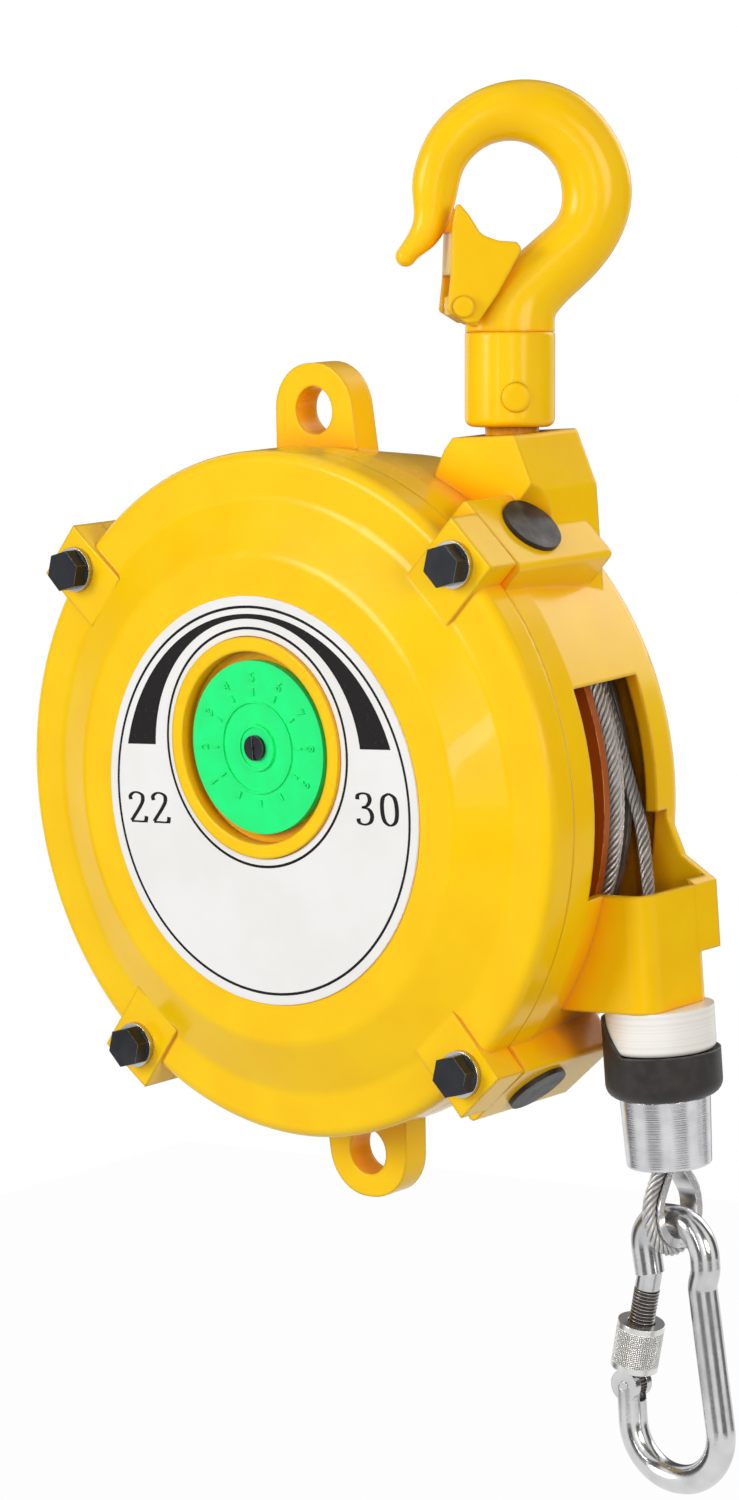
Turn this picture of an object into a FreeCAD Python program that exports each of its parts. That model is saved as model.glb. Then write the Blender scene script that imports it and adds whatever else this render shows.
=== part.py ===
import FreeCAD, Part
import math
import os
import Sketcher

# Spring balancer. It is drawn about the rope drum's axis (X right, Y from the cover to the rear,
# Z up) and every piece is then placed so that the seat of the top hook is the origin.

# ---------------------------------------------------------------- driving dimensions, mm and degrees
SIZES = {
    # front cover
    "cover_radius": 120, "cover_band_radius": 104, "cover_band_y": -2.5, "cover_edge_round": 4,
    "plateau_radius": 85, "plateau_y": -11, "plateau_round": 6, "cover_wall": 4,
    "parting_y": 10, "spigot_depth": 3, "rim_wall": 4.4,
    "bolt_circle": 118.8, "upper_ear_angle": 42.5, "lower_ear_angle": 50.3,
    "ear_reach": 129.4, "ear_root": 101, "ear_half_width": 11.5, "ear_front_y": -3.8,
    # rear case
    "case_straight_y": 21, "case_back_y": 80, "case_taper": 7.7, "case_round": 7,
    "back_wall": 4.5, "left_ear_back_y": 22, "block_back_y": 60, "block_half_width": 16,
    "lug_root_depth": 12, "lug_offset": 131.5, "lug_radius": 16.5, "lug_front_y": 31,
    "lug_thick": 11, "lug_hole": 8.4,
    "window_low": -35, "window_high": 36, "window_front_y": 21, "window_back_y": 63,
    "window_depth": 32,
    # hook block and swivel
    "load_y": 50, "stem_x": 72.5, "block_left": 56, "block_right": 94, "block_top": 120,
    "block_foot": 60, "block_toe": 14, "block_toe_z": 92,
    "block_front_y": 33, "block_end_y": 67, "block_chamfer_x": 7, "block_chamfer_z": 19,
    "nut_pocket_radius": 14.5, "nut_pocket_top": 104, "stem_radius": 9.2,
    "nut_flats": 23, "nut_thick": 9, "washer_thick": 2.5, "washer_radius": 13.5,
    # rope spout and guide
    "rope_inset": 0.6, "spout_root_depth": 35, "spout_well_depth": 28, "rise_depth": 20,
    "spout_reach": 10.6, "spout_low": -75, "spout_high": -35, "spout_wall": 3,
    "spout_floor": 6, "spout_round": 8, "spout_front_y": 31, "spout_back_y": 67,
    "guide_radius": 18.6, "guide_low": -90, "guide_neck": 7.2, "guide_bore": 3.6, "guide_flare": 6.2,
    "guide_neck_above": 5, "lead_room": 5.5,
    # fasteners and plugs
    "bolt_shank": 4, "bolt_flats": 13, "bolt_head": 5.3, "bolt_washer_radius": 8,
    "bolt_washer_thick": 2, "bolt_length": 22,
    "upper_plug_angle": 43.6, "lower_plug_angle": 52, "plug_y": 30, "plug_head_radius": 11,
    "plug_head": 1.8, "plug_stem_radius": 8.5, "plug_stem": 9,
    # scale plate and load dial
    "plate_radius": 71.1, "plate_hole": 38.7, "plate_thick": 0.7, "dial_z": 18.6,
    "lip_outer": 38.5, "lip_inner": 33.5, "lip_height": 1.8, "dial_floor_y": -7.6,
    "dial_radius": 30.1, "dial_thick": 3, "dial_hub_radius": 8, "dial_screw_radius": 4.4,
    "dial_screw_head": 1.4, "dial_screw_shank": 2.5, "dial_slot": 1.1, "dial_boss_radius": 7,
    # mandrel, bushes and tension worm
    "journal_radius": 9, "arbor_radius": 14, "shaft_radius": 12, "wheel_seat_radius": 10,
    "bush_wall": 3, "boss_wall": 6, "front_boss_y": 0, "arbor_front_y": 3.6, "arbor_back_y": 38,
    "back_boss_depth": 8, "gear_cover_radius": 95.5, "gear_cover_back_y": 102, "gear_cover_wall": 3.4,
    "gear_cover_round": 5, "pocket_x": 75.6, "pocket_low": -25, "pocket_high": 30,
    "tooth_module": 2, "wheel_teeth": 70, "wheel_width": 8, "mesh_y": 95, "worm_angle": 27.4,
    "worm_pitch_radius": 7, "worm_half_length": 12, "worm_boss_radius": 12.6, "worm_journal": 4,
    "worm_boss_low": 18.5, "worm_boss_high": 19, "worm_hex_flats": 5, "worm_hex_length": 12,
    "worm_bush_wall": 2.2, "worm_bush_length": 5, "wheel_nut_flats": 22, "wheel_nut_thick": 5,
    "wheel_thread": 8, "gear_dome_radius": 20, "gear_dome_depth": 5,
    "gear_screw_circle": 84, "gear_screw_side_angle": 60, "gear_screw_rear_angle": 135,
    "gear_screw_radius": 2.5, "gear_screw_head": 4.4,
    "gear_plug_radius": 8.2, "gear_plug_head": 2.4, "gear_plug_z": -14.5,
    "gear_plug_stem": 3, "gear_plug_stem_radius": 4,
    # rope drum, spring and rope
    "drum_front_y": 4.5, "pan_wall": 4.5, "web_y": 40, "web_thick": 4,
    "flange_gap": 7.6, "flange_height": 7, "flange_y": 42, "flange_thick": 3, "rim_back_y": 70.5,
    "coil_inset": 1, "coil_taper": 10, "rim_wall_thick": 5, 
    "back_lip": 2, "hub_wall": 7, "hub_back_y": 71.4, "rib_count": 6, "rib_thick": 5,
    "spring_cover_thick": 1.6, "spring_cover_hole": 17.5, "cover_screw_count": 6,
    "cover_screw_shank": 1.5, "cover_screw_head": 2.6, "cover_screw_head_thick": 1.3,
    "cover_screw_length": 9, "spring_strip": 1.4, "spring_coils": 7, "spring_inner": 64,
    "rope_radius": 2.38, "coil_pitch": 5.65, "coil_turns": 2, "coil_start_angle": 150,
    "coil_front_y": 49, "coil_back_y": 66, "rope_lead_angle": 14.8, "rope_wrap_angle": 60,
    "lead_straight": 43.4, "lead_bend": 40, "lead_foot_bend": 24, "lead_foot_z": -72,
    "anchor_radius": 4, "anchor_length": 9,
    # rope end
    "bumper_radius": 20, "bumper_top": -90.3, "bumper_low": -106, "bumper_round": 5,
    "skirt_top": -78, "skirt_wall": 1.1, "sleeve_top_radius": 15.5, "sleeve_low_radius": 14.5,
    "sleeve_low": -130, "sleeve_bore": 8.4, "eye_centre": -146.1, "eye_radius": 13.2,
    "eye_top_half": 4.4, "thimble_radius": 9.2, "thimble_half": 3.6,
    "run_top": -79,
    # snap hook
    "snap_wire": 5.05, "snap_top_radius": 12.4, "snap_top_z": -161.4, "snap_low_radius": 19.7,
    "snap_low_x": -3.7, "snap_low_z": -221, "snap_side_top_x": 10.6, "snap_side_top_z": -171.5,
    "snap_side_low_x": 15.9, "gate_pivot_x": -22.6, "gate_pivot_z": -209, "gate_lean": 15.5,
    "gate_reach": 35.6, "nose_radius": 4.3, "gate_rod": 4.4, "gate_pin_radius": 1.6,
    "gate_tongue": 3.4, "fork_radius": 5.5, "lock_sleeve_radius": 8.2,
    "lock_sleeve_length": 17, "lock_sleeve_start": 5,
    # top hook
    "hook_turn": 47, "hook_lean": 4, "pin_z": 132.4, "socket_radius": 15.35, "socket_low": -10.2,
    "socket_high": 21.9, "socket_round": 3, "socket_bore": 10.6, "stem_head": 5.8,
    "cross_pin_radius": 3.5, "cross_pin_head": 5, "cross_pin_head_thick": 2,
    "bowl_radius": 17.8, "bowl_rise": 68.4, "spigot_radius": 10, "spigot_low": 9,
    "latch_x": -17.5, "latch_z": 30.4, "latch_rivet_radius": 2.5,
    "latch_sheet": 1.6, "latch_half": 11.6, "latch_lug_half": 7,
    # fits
    "running": 0.05, "gap": 0.3, "seat": 0.02,
}

doc = FreeCAD.newDocument("SpringBalancer")
sheet = doc.addObject("Spreadsheet::Sheet", "Sizes")
for row, (word, number) in enumerate(SIZES.items(), 1):
    sheet.set("A%d" % row, word)
    sheet.set("B%d" % row, str(number))
    sheet.setAlias("B%d" % row, word)
doc.recompute()


class Size:
    """A number that also knows the sheet expression it comes from."""

    def __init__(self, value, text):
        self.value = float(value)
        self.text = text

    def __add__(self, other):
        other = size(other)
        return Size(self.value + other.value, "(%s + %s)" % (self.text, other.text))

    def __sub__(self, other):
        other = size(other)
        return Size(self.value - other.value, "(%s - %s)" % (self.text, other.text))

    def __mul__(self, other):
        other = size(other)
        return Size(self.value * other.value, "%s * %s" % (self.text, other.text))

    def __truediv__(self, other):
        other = size(other)
        return Size(self.value / other.value, "(%s / (%s))" % (self.text, other.text))

    def __radd__(self, other):
        return size(other) + self

    def __rsub__(self, other):
        return size(other) - self

    def __rmul__(self, other):
        return size(other) * self

    def __rtruediv__(self, other):
        return size(other) / self

    def __neg__(self):
        return Size(-self.value, "(0 - %s)" % self.text)


def size(number):
    """A Size as it is, or a plain number as a Size."""
    return number if isinstance(number, Size) else Size(number, repr(float(number)))


def root(number):
    return Size(math.sqrt(number.value), "sqrt(%s)" % number.text)


def cosine(angle):
    angle = size(angle)
    return Size(math.cos(math.radians(angle.value)), "cos(%s)" % angle.text)


def sine(angle):
    angle = size(angle)
    return Size(math.sin(math.radians(angle.value)), "sin(%s)" % angle.text)


class Sheet:
    """Reads the sheet's cells by name."""

    def __getattr__(self, word):
        return Size(sheet.get(word), "Sizes." + word)


d = Sheet()

# ---------------------------------------------------------------- drawing and feature helpers
ORIGIN_PLANE = {"XY": "XY_Plane", "XZ": "XZ_Plane", "YZ": "YZ_Plane"}
pieces = []


def piece(label, place=None):
    """A body for one piece, in the hanging frame unless it gets a place of its own."""
    body = doc.addObject("PartDesign::Body", label)
    body.Label = label
    body.AllowCompound = True
    body.Placement = place if place else HANGING
    pieces.append(body)
    return body


def sketch_on(body, plane, out):
    """A sketch on one of the body's own planes, moved out along the plane's normal."""
    flat = body.newObject("Sketcher::SketchObject", "Outline")
    role = ORIGIN_PLANE[plane]
    flat.AttachmentSupport = [(next(f for f in body.Origin.OriginFeatures if f.Role == role), "")]
    flat.MapMode = "FlatFace"
    flat.setExpression("AttachmentOffset.Base.z", size(out).text)
    return flat


def pin_point(flat, item, end, x, y):
    """Ties one end of a sketch element to a place."""
    for kind, where in (("DistanceX", size(x)), ("DistanceY", size(y))):
        rule = flat.addConstraint(Sketcher.Constraint(kind, -1, 1, item, end, where.value))
        flat.setExpression("Constraints[%d]" % rule, where.text)


def circle(x, y, radius):
    return ("circle", size(x), size(y), size(radius))


def draw_circle(flat, x, y, radius):
    centre = FreeCAD.Vector(x.value, y.value, 0)
    item = flat.addGeometry(Part.Circle(centre, FreeCAD.Vector(0, 0, 1), radius.value))
    pin_point(flat, item, 3, x, y)
    rule = flat.addConstraint(Sketcher.Constraint("Radius", item, radius.value))
    flat.setExpression("Constraints[%d]" % rule, radius.text)


def rounding(before, corner, after, radius):
    """Where an arc of this radius meets the two edges of a corner, and whether it turns left."""
    sides = []
    for other in (before, after):
        run = [other[0] - corner[0], other[1] - corner[1]]
        length = root(run[0] * run[0] + run[1] * run[1])
        sides.append([run[0] / length, run[1] / length])
    (ax, ay), (bx, by) = sides
    facing = ax * bx + ay * by
    cut = radius * root((1 + facing) / (1 - facing))
    entry = (corner[0] + ax * cut, corner[1] + ay * cut)
    leave = (corner[0] + bx * cut, corner[1] + by * cut)
    return entry, leave, (bx * ay - by * ax).value > 0


def draw_outline(flat, corners, closed=True):
    """Straight edges through the corners; a corner's third value rounds it."""
    corners = [tuple(size(v) for v in corner) for corner in corners]
    count = len(corners)
    marks = []
    for i, corner in enumerate(corners):
        if len(corner) == 3:
            near, far = corners[i - 1], corners[(i + 1) % count]
            marks.append(rounding(near, corner, far, corner[2]) + (corner[2],))
        else:
            marks.append((corner, corner, None, None))
    for i in range(count if closed else count - 1):
        start, end = marks[i][1], marks[(i + 1) % count][0]
        line = flat.addGeometry(Part.LineSegment(vector(start), vector(end)))
        pin_point(flat, line, 1, start[0], start[1])
        pin_point(flat, line, 2, end[0], end[1])
    for entry, leave, left, radius in marks:
        if radius is None:
            continue
        start, end = (entry, leave) if left else (leave, entry)
        draw_arc(flat, start, end, radius)


def vector(point):
    return FreeCAD.Vector(point[0].value, point[1].value, 0)


def draw_arc(flat, start, end, radius):
    """A short arc, anticlockwise from start to end."""
    a, b = vector(start), vector(end)
    middle = (a + b) * 0.5
    half = (b - a).Length / 2
    lift = math.sqrt(max(radius.value ** 2 - half ** 2, 0))
    side = FreeCAD.Vector(a.y - b.y, b.x - a.x, 0).normalize()
    centre = middle + side * lift
    ring = Part.Circle(centre, FreeCAD.Vector(0, 0, 1), radius.value)
    angles = [math.atan2(p.y - centre.y, p.x - centre.x) for p in (a, b)]
    item = flat.addGeometry(Part.ArcOfCircle(ring, angles[0], angles[1]))
    pin_point(flat, item, 1, start[0], start[1])
    pin_point(flat, item, 2, end[0], end[1])
    rule = flat.addConstraint(Sketcher.Constraint("Radius", item, radius.value))
    flat.setExpression("Constraints[%d]" % rule, radius.text)


def draw(flat, shapes):
    for shape in shapes:
        if shape[0] == "circle":
            draw_circle(flat, *shape[1:])
        else:
            draw_outline(flat, shape)


def slab(body, plane, shapes, low, high, cut=False):
    """Outlines on a plane made solid, or cut away, from low to high along its third axis."""
    flat = sketch_on(body, plane, -size(high) if plane == "XZ" else low)
    draw(flat, shapes)
    feature = body.newObject("PartDesign::Pocket" if cut else "PartDesign::Pad", "Slab")
    feature.Profile = flat
    feature.Type = 0
    feature.Reversed = cut
    feature.setExpression("Length", (size(high) - low).text)
    return feature


def turned(body, plane, corners, axis=None, out=0, cut=False):
    """A profile turned about the sketch's upright axis, or about a line from point to point."""
    flat = sketch_on(body, plane, -size(out) if plane == "XZ" else out)
    draw_outline(flat, corners)
    line = "V_Axis"
    if axis:
        axis = [(size(x), size(y)) for x, y in axis]
        item = flat.addGeometry(Part.LineSegment(*[vector(p) for p in axis]), True)
        pin_point(flat, item, 1, *axis[0])
        pin_point(flat, item, 2, *axis[1])
        line = "Axis0"
    feature = body.newObject("PartDesign::Groove" if cut else "PartDesign::Revolution", "Turning")
    feature.Profile = flat
    feature.ReferenceAxis = (flat, [line])
    feature.Angle = 360
    return feature


def swing(corners, angle):
    """Corners given as (outward, across) turned to lie along a direction from the drum axis."""
    c, s = cosine(angle), sine(angle)
    moved = []
    for corner in corners:
        outward, across = size(corner[0]), size(corner[1])
        place = (outward * c - across * s, outward * s + across * c)
        moved.append(place + tuple(corner[2:]))
    return moved


def box_outline(left, low, right, high, radius=None):
    corners = [(left, low), (right, low), (right, high), (left, high)]
    return [corner + (radius,) for corner in corners] if radius else corners


def hexagon(x, y, flats, turn=0):
    reach = size(flats) / root(size(3))
    return [(x + reach * cosine(turn + 60 * i), y + reach * sine(turn + 60 * i)) for i in range(6)]


def cylinder_about(body, plane, start, end, radius, out=0, cut=False, bore=None):
    """A plain or hollow cylinder whose axis runs from start to end in the plane."""
    run = (end[0] - start[0], end[1] - start[1])
    length = root(run[0] * run[0] + run[1] * run[1])
    nx, ny = -run[1] / length, run[0] / length
    inner = size(bore) if bore else size(0)
    corners = [(start[0] + nx * inner, start[1] + ny * inner),
               (start[0] + nx * radius, start[1] + ny * radius),
               (end[0] + nx * radius, end[1] + ny * radius),
               (end[0] + nx * inner, end[1] + ny * inner)]
    return turned(body, plane, corners, (start, end), out, cut)



def bar(body, path, radius, plane, out):
    """A round bar bent along a path of straight runs and rounded corners."""
    spine = sketch_on(body, plane, -size(out) if plane == "XZ" else out)
    draw_outline(spine, path, closed=False)
    doc.recompute()
    section = body.newObject("Sketcher::SketchObject", "Section")
    section.AttachmentSupport = [(spine, "Edge1")]
    section.MapMode = "NormalToEdge"
    section.MapPathParameter = 0
    draw_circle(section, size(0), size(0), size(radius))
    feature = body.newObject("PartDesign::AdditivePipe", "Bar")
    feature.Profile = section
    feature.Spine = (spine, ["Edge%d" % i for i in range(1, len(spine.Shape.Edges) + 1)])
    return feature


# ---------------------------------------------------------------- where the pieces hang
# The hook's plane is turned about the stem and leans about the cross pin; the seat of its bowl is
# the origin of the whole object.
seat_rise = d.bowl_rise + d.bowl_radius
seat_reach = seat_rise * sine(d.hook_lean)
seat_x = d.stem_x + seat_reach * cosine(d.hook_turn)
seat_y = d.load_y + seat_reach * sine(d.hook_turn)
seat_z = d.pin_z + seat_rise * cosine(d.hook_lean)
SEAT = FreeCAD.Vector(seat_x.value, seat_y.value, seat_z.value)
UPRIGHT = FreeCAD.Rotation()
HANGING = FreeCAD.Placement(-SEAT, UPRIGHT)
PIN = FreeCAD.Vector(d.stem_x.value, d.load_y.value, d.pin_z.value)
TURN = FreeCAD.Rotation(FreeCAD.Vector(0, 0, 1), d.hook_turn.value)
LEAN = FreeCAD.Rotation(FreeCAD.Vector(0, 1, 0), d.hook_lean.value)
AT_HOOK = FreeCAD.Placement(PIN - SEAT, TURN * LEAN)
AT_STEM = FreeCAD.Placement(PIN - SEAT, TURN)

ears = [d.upper_ear_angle, 180 - d.upper_ear_angle, 180 + d.lower_ear_angle, -d.lower_ear_angle]
bolt_spots = [(d.bolt_circle * cosine(a), d.bolt_circle * sine(a)) for a in ears]
ear_box = [(d.ear_root, -d.ear_half_width), (d.ear_reach, -d.ear_half_width),
           (d.ear_reach, d.ear_half_width), (d.ear_root, d.ear_half_width)]

# ---------------------------------------------------------------- front cover
# Cast dish with a raised centre, four bolt ears, a lip round the dial and the front bearing boss.
inside = d.cover_radius - d.rim_wall
case_back_radius = d.cover_radius - d.case_taper
window_depth_x = d.cover_radius - d.window_depth
rope_x = d.cover_radius - d.rope_inset
cover = piece("front_cover")
turned(cover, "XY", [
    (0, d.plateau_y), (d.plateau_radius, d.plateau_y, d.plateau_round),
    (d.cover_band_radius, d.cover_band_y, d.plateau_round),
    (d.cover_radius, d.cover_band_y, d.cover_edge_round), (d.cover_radius, d.parting_y),
    (0, d.parting_y)])
slab(cover, "XZ", [swing(ear_box, a) for a in ears], d.ear_front_y, d.parting_y)
turned(cover, "XY", [
    (0, d.plateau_y + d.cover_wall), (d.plateau_radius - d.cover_wall, d.plateau_y + d.cover_wall),
    (d.cover_band_radius - 2, d.cover_band_y + d.cover_wall, d.plateau_round),
    (inside, d.cover_band_y + d.cover_wall), (inside, d.parting_y), (0, d.parting_y)], cut=True)
slab(cover, "XZ", [circle(0, d.dial_z, d.lip_outer)], d.plateau_y - d.lip_height, d.plateau_y)
slab(cover, "XZ", [circle(0, d.dial_z, d.lip_inner)], d.plateau_y - d.lip_height, d.dial_floor_y,
     cut=True)
slab(cover, "XZ", [circle(0, d.dial_z, d.lip_inner + d.cover_wall)], d.dial_floor_y,
     d.dial_floor_y + d.cover_wall)
front_bush_radius = d.journal_radius + d.running + d.bush_wall
slab(cover, "XZ", [circle(0, 0, front_bush_radius + d.boss_wall)],
     d.dial_floor_y, d.front_boss_y)
slab(cover, "XZ", [circle(0, d.dial_z, d.dial_boss_radius)], d.dial_floor_y, d.front_boss_y)
bush_front_y = d.dial_floor_y + 2
slab(cover, "XZ", [circle(0, 0, front_bush_radius)], bush_front_y, d.front_boss_y, cut=True)
slab(cover, "XZ", [circle(0, d.dial_z, d.dial_screw_shank)], d.dial_floor_y, d.front_boss_y,
     cut=True)
turned(cover, "XY", [
    (inside - d.rim_wall, d.parting_y - 4), (inside + 1, d.parting_y - 4),
    (inside + 1, d.parting_y - 1.6), (inside - d.gap, d.parting_y - 0.2),
    (inside - d.gap, d.parting_y + d.spigot_depth),
    (inside - d.rim_wall, d.parting_y + d.spigot_depth)])
slab(cover, "XZ", [circle(x, z, d.bolt_shank + 0.4) for x, z in bolt_spots], d.ear_front_y,
     d.parting_y + d.spigot_depth, cut=True)

# ---------------------------------------------------------------- rear case
# Cast barrel with the back wall, ears, lifting lugs, hook block, rope window and open rope spout.
back_inside_y = d.case_back_y - d.back_wall
case = piece("case_shell")
turned(case, "XY", [
    (0, d.parting_y), (d.cover_radius, d.parting_y), (d.cover_radius, d.case_straight_y),
    (case_back_radius, d.case_back_y, d.case_round), (0, d.case_back_y)])
slab(case, "XZ", [swing(ear_box, a) for a in ears[1:3]], d.parting_y, d.left_ear_back_y)
block_box = [(d.ear_root, -d.block_half_width), (d.ear_reach, -d.block_half_width, 2),
             (d.ear_reach, d.block_half_width, 2), (d.ear_root, d.block_half_width)]
slab(case, "XZ", [swing(block_box, d.upper_plug_angle), swing(block_box, -d.lower_plug_angle)],
     d.parting_y, d.block_back_y)
slab(case, "XZ", [[
    (d.block_left - d.block_toe, d.block_toe_z),
    (d.block_left, d.block_top - 4), (d.block_left + 4, d.block_top),
    (d.block_right - d.block_chamfer_x, d.block_top, 2),
    (d.block_right, d.block_top - d.block_chamfer_z, 3), (d.block_right, d.block_foot),
    (d.block_foot, d.block_foot)]],
    d.block_front_y, d.block_end_y)
spout_right = rope_x + d.spout_reach
spout_root = d.cover_radius - d.spout_root_depth
spout_well_root = d.cover_radius - d.spout_well_depth
rise_root = d.cover_radius - d.rise_depth
slab(case, "XY", [[
    (spout_root, d.spout_front_y), (spout_right, d.spout_front_y, d.spout_round),
    (spout_right, d.spout_back_y, d.spout_round), (spout_root, d.spout_back_y)]],
    d.spout_low, d.spout_high)
rise = [(rise_root, -58), (spout_right, -58), (spout_right, d.spout_high),
        (d.cover_radius - 2, -27), (d.cover_radius - 8, -12), (rise_root, -12)]
slab(case, "XZ", [rise], d.spout_back_y - 7, d.spout_back_y + d.lead_room)
lug_root = d.cover_radius - d.lug_root_depth
lug_outline = [(-d.lug_radius - 3, lug_root), (d.lug_radius + 3, lug_root),
               (d.lug_radius, d.lug_offset + d.lug_radius, d.lug_radius - 0.1),
               (-d.lug_radius, d.lug_offset + d.lug_radius, d.lug_radius - 0.1)]
lug_below = [(x, -size(z)) + tuple(rest) for x, z, *rest in lug_outline]
lug_back_y = d.lug_front_y + d.lug_thick
slab(case, "XZ", [lug_outline, lug_below], d.lug_front_y, lug_back_y)
turned(case, "XY", [
    (0, d.parting_y), (inside, d.parting_y), (inside, d.case_straight_y),
    (case_back_radius - d.rim_wall, back_inside_y, d.case_round), (0, back_inside_y)], cut=True)
back_bush_radius = d.shaft_radius + d.running + d.bush_wall
back_boss_y = d.case_back_y - d.back_boss_depth
slab(case, "XZ", [circle(0, 0, back_bush_radius + d.boss_wall)], back_boss_y, d.case_back_y)
slab(case, "XZ", [circle(0, 0, back_bush_radius)], back_boss_y, d.case_back_y, cut=True)
slab(case, "YZ", [box_outline(d.window_front_y, d.window_low, d.window_back_y, d.window_high)],
     window_depth_x, d.cover_radius + 1, cut=True)
spout_well = [(spout_well_root, d.spout_front_y + d.spout_wall),
              (spout_right - d.spout_wall, d.spout_front_y + d.spout_wall, d.spout_round - 4),
              (spout_right - d.spout_wall, d.spout_back_y - d.spout_wall, d.spout_round - 4),
              (spout_well_root, d.spout_back_y - d.spout_wall)]
slab(case, "XY", [spout_well], d.spout_low + d.spout_floor, d.spout_high, cut=True)
slab(case, "XZ", [box_outline(window_depth_x, -50, spout_right - d.spout_wall, -11)],
     d.load_y, d.spout_back_y + d.lead_room - d.spout_wall, cut=True)
slab(case, "XY", [circle(rope_x, d.load_y, d.guide_neck)], d.spout_low,
     d.spout_low + d.spout_floor + d.guide_neck_above, cut=True)
slab(case, "XY", [circle(d.stem_x, d.load_y, d.nut_pocket_radius)], 78, d.nut_pocket_top, cut=True)
slab(case, "XY", [circle(d.stem_x, d.load_y, d.stem_radius + d.running)], d.nut_pocket_top,
     d.block_top, cut=True)
slab(case, "XZ", [circle(x, z, d.bolt_shank) for x, z in bolt_spots], d.parting_y,
     d.ear_front_y + d.bolt_length, cut=True)
slab(case, "XZ", [circle(0, d.lug_offset, d.lug_hole), circle(0, -d.lug_offset, d.lug_hole)],
     d.lug_front_y, lug_back_y, cut=True)
plug_reach = d.ear_reach
plug_angles = [d.upper_plug_angle, -d.lower_plug_angle]


def along(angle, reach):
    return (reach * cosine(angle), reach * sine(angle))


for angle in plug_angles:
    cylinder_about(case, "XZ", along(angle, plug_reach - d.plug_stem - 1),
                   along(angle, plug_reach + 1), d.plug_stem_radius, d.plug_y, cut=True)
    cylinder_about(case, "XZ", along(angle, plug_reach), along(angle, plug_reach + 14),
                   d.plug_head_radius + d.gap, d.plug_y, cut=True)
gear_screw_spots = [along(a, d.gear_screw_circle) for a in (
    d.gear_screw_side_angle, d.gear_screw_rear_angle, -d.gear_screw_rear_angle,
    -d.gear_screw_side_angle)]
slab(case, "XZ", [circle(x, z, d.gear_screw_radius) for x, z in gear_screw_spots],
     back_inside_y, d.case_back_y, cut=True)

# ---------------------------------------------------------------- bolts, washers and plugs
head_y = d.ear_front_y - d.bolt_washer_thick
bolts = piece("cover_bolts")
slab(bolts, "XZ", [hexagon(x, z, d.bolt_flats, 12) for x, z in bolt_spots],
     head_y - d.bolt_head, head_y)
slab(bolts, "XZ", [circle(x, z, d.bolt_shank - d.seat) for x, z in bolt_spots], head_y,
     d.ear_front_y + d.bolt_length - 1)
washers = piece("cover_washers")
rings = [circle(x, z, r) for x, z in bolt_spots
         for r in (d.bolt_washer_radius, d.bolt_shank + 0.3)]
slab(washers, "XZ", rings, head_y, d.ear_front_y)
plugs = piece("bore_plugs")
for angle in plug_angles:
    cylinder_about(plugs, "XZ", along(angle, plug_reach - d.plug_stem), along(angle, plug_reach),
                   d.plug_stem_radius - d.seat, d.plug_y)
    cylinder_about(plugs, "XZ", along(angle, plug_reach), along(angle, plug_reach + d.plug_head),
                   d.plug_head_radius, d.plug_y)

# ---------------------------------------------------------------- scale plate and load dial
plate = piece("scale_plate")
plate_front_y = d.plateau_y - d.plate_thick
slab(plate, "XZ", [circle(0, 0, d.plate_radius), circle(0, d.dial_z, d.plate_hole)],
     plate_front_y, d.plateau_y)
dial = piece("dial_disc")
dial_back_y = d.dial_floor_y - d.gap
dial_front_y = dial_back_y - d.dial_thick
slab(dial, "XZ", [circle(0, d.dial_z, d.dial_radius)], dial_front_y, dial_back_y)
slab(dial, "XZ", [circle(0, d.dial_z, d.dial_hub_radius)], dial_front_y - 0.6, dial_front_y)
slab(dial, "XZ", [circle(0, d.dial_z, d.dial_screw_shank + d.running)], dial_front_y - 0.6,
     dial_back_y, cut=True)
dial_screw = piece("dial_screw")
screw_seat_y = dial_front_y - 0.6 - d.running
slab(dial_screw, "XZ", [circle(0, d.dial_z, d.dial_screw_shank - d.seat)], screw_seat_y,
     d.front_boss_y - 1)
slab(dial_screw, "XZ", [circle(0, d.dial_z, d.dial_screw_radius)],
     screw_seat_y - d.dial_screw_head, screw_seat_y)
slot = [(-d.dial_slot / 2, d.dial_z - d.dial_screw_radius),
        (d.dial_slot / 2, d.dial_z - d.dial_screw_radius),
        (d.dial_slot / 2, d.dial_z + d.dial_screw_radius),
        (-d.dial_slot / 2, d.dial_z + d.dial_screw_radius)]
slab(dial_screw, "XZ", [slot], screw_seat_y - d.dial_screw_head,
     screw_seat_y - d.dial_screw_head / 2, cut=True)

# ---------------------------------------------------------------- mandrel, its bushes and the worm wheel
for label, inner, outer, low, high in (
        ("cover_bush", d.journal_radius, front_bush_radius, bush_front_y, d.front_boss_y),
        ("case_bush", d.shaft_radius, back_bush_radius, back_boss_y, d.case_back_y)):
    bush = piece(label)
    slab(bush, "XZ", [circle(0, 0, outer), circle(0, 0, inner + d.running)], low, high)
pitch_radius = d.tooth_module * d.wheel_teeth / 2
wheel_front_y = d.mesh_y - d.wheel_width / 2
wheel_back_y = d.mesh_y + d.wheel_width / 2
wheel_nut_back_y = wheel_back_y + d.wheel_nut_thick
mandrel = piece("mandrel_shaft")
turned(mandrel, "XY", [
    (0, bush_front_y + d.gap), (d.journal_radius, bush_front_y + d.gap),
    (d.journal_radius, d.arbor_front_y), (d.arbor_radius, d.arbor_front_y),
    (d.arbor_radius, d.arbor_back_y), (d.shaft_radius, d.arbor_back_y),
    (d.shaft_radius, wheel_front_y), (d.wheel_seat_radius, wheel_front_y),
    (d.wheel_seat_radius, wheel_back_y), (d.wheel_thread, wheel_back_y),
    (d.wheel_thread, wheel_nut_back_y), (0, wheel_nut_back_y)])
wheel = piece("worm_wheel")
root_radius = pitch_radius - 1.25 * d.tooth_module
slab(wheel, "XZ", [circle(0, 0, root_radius), circle(0, 0, d.wheel_seat_radius + d.seat)],
     wheel_front_y, wheel_back_y)
tooth_half = d.tooth_module * 0.7
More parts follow.
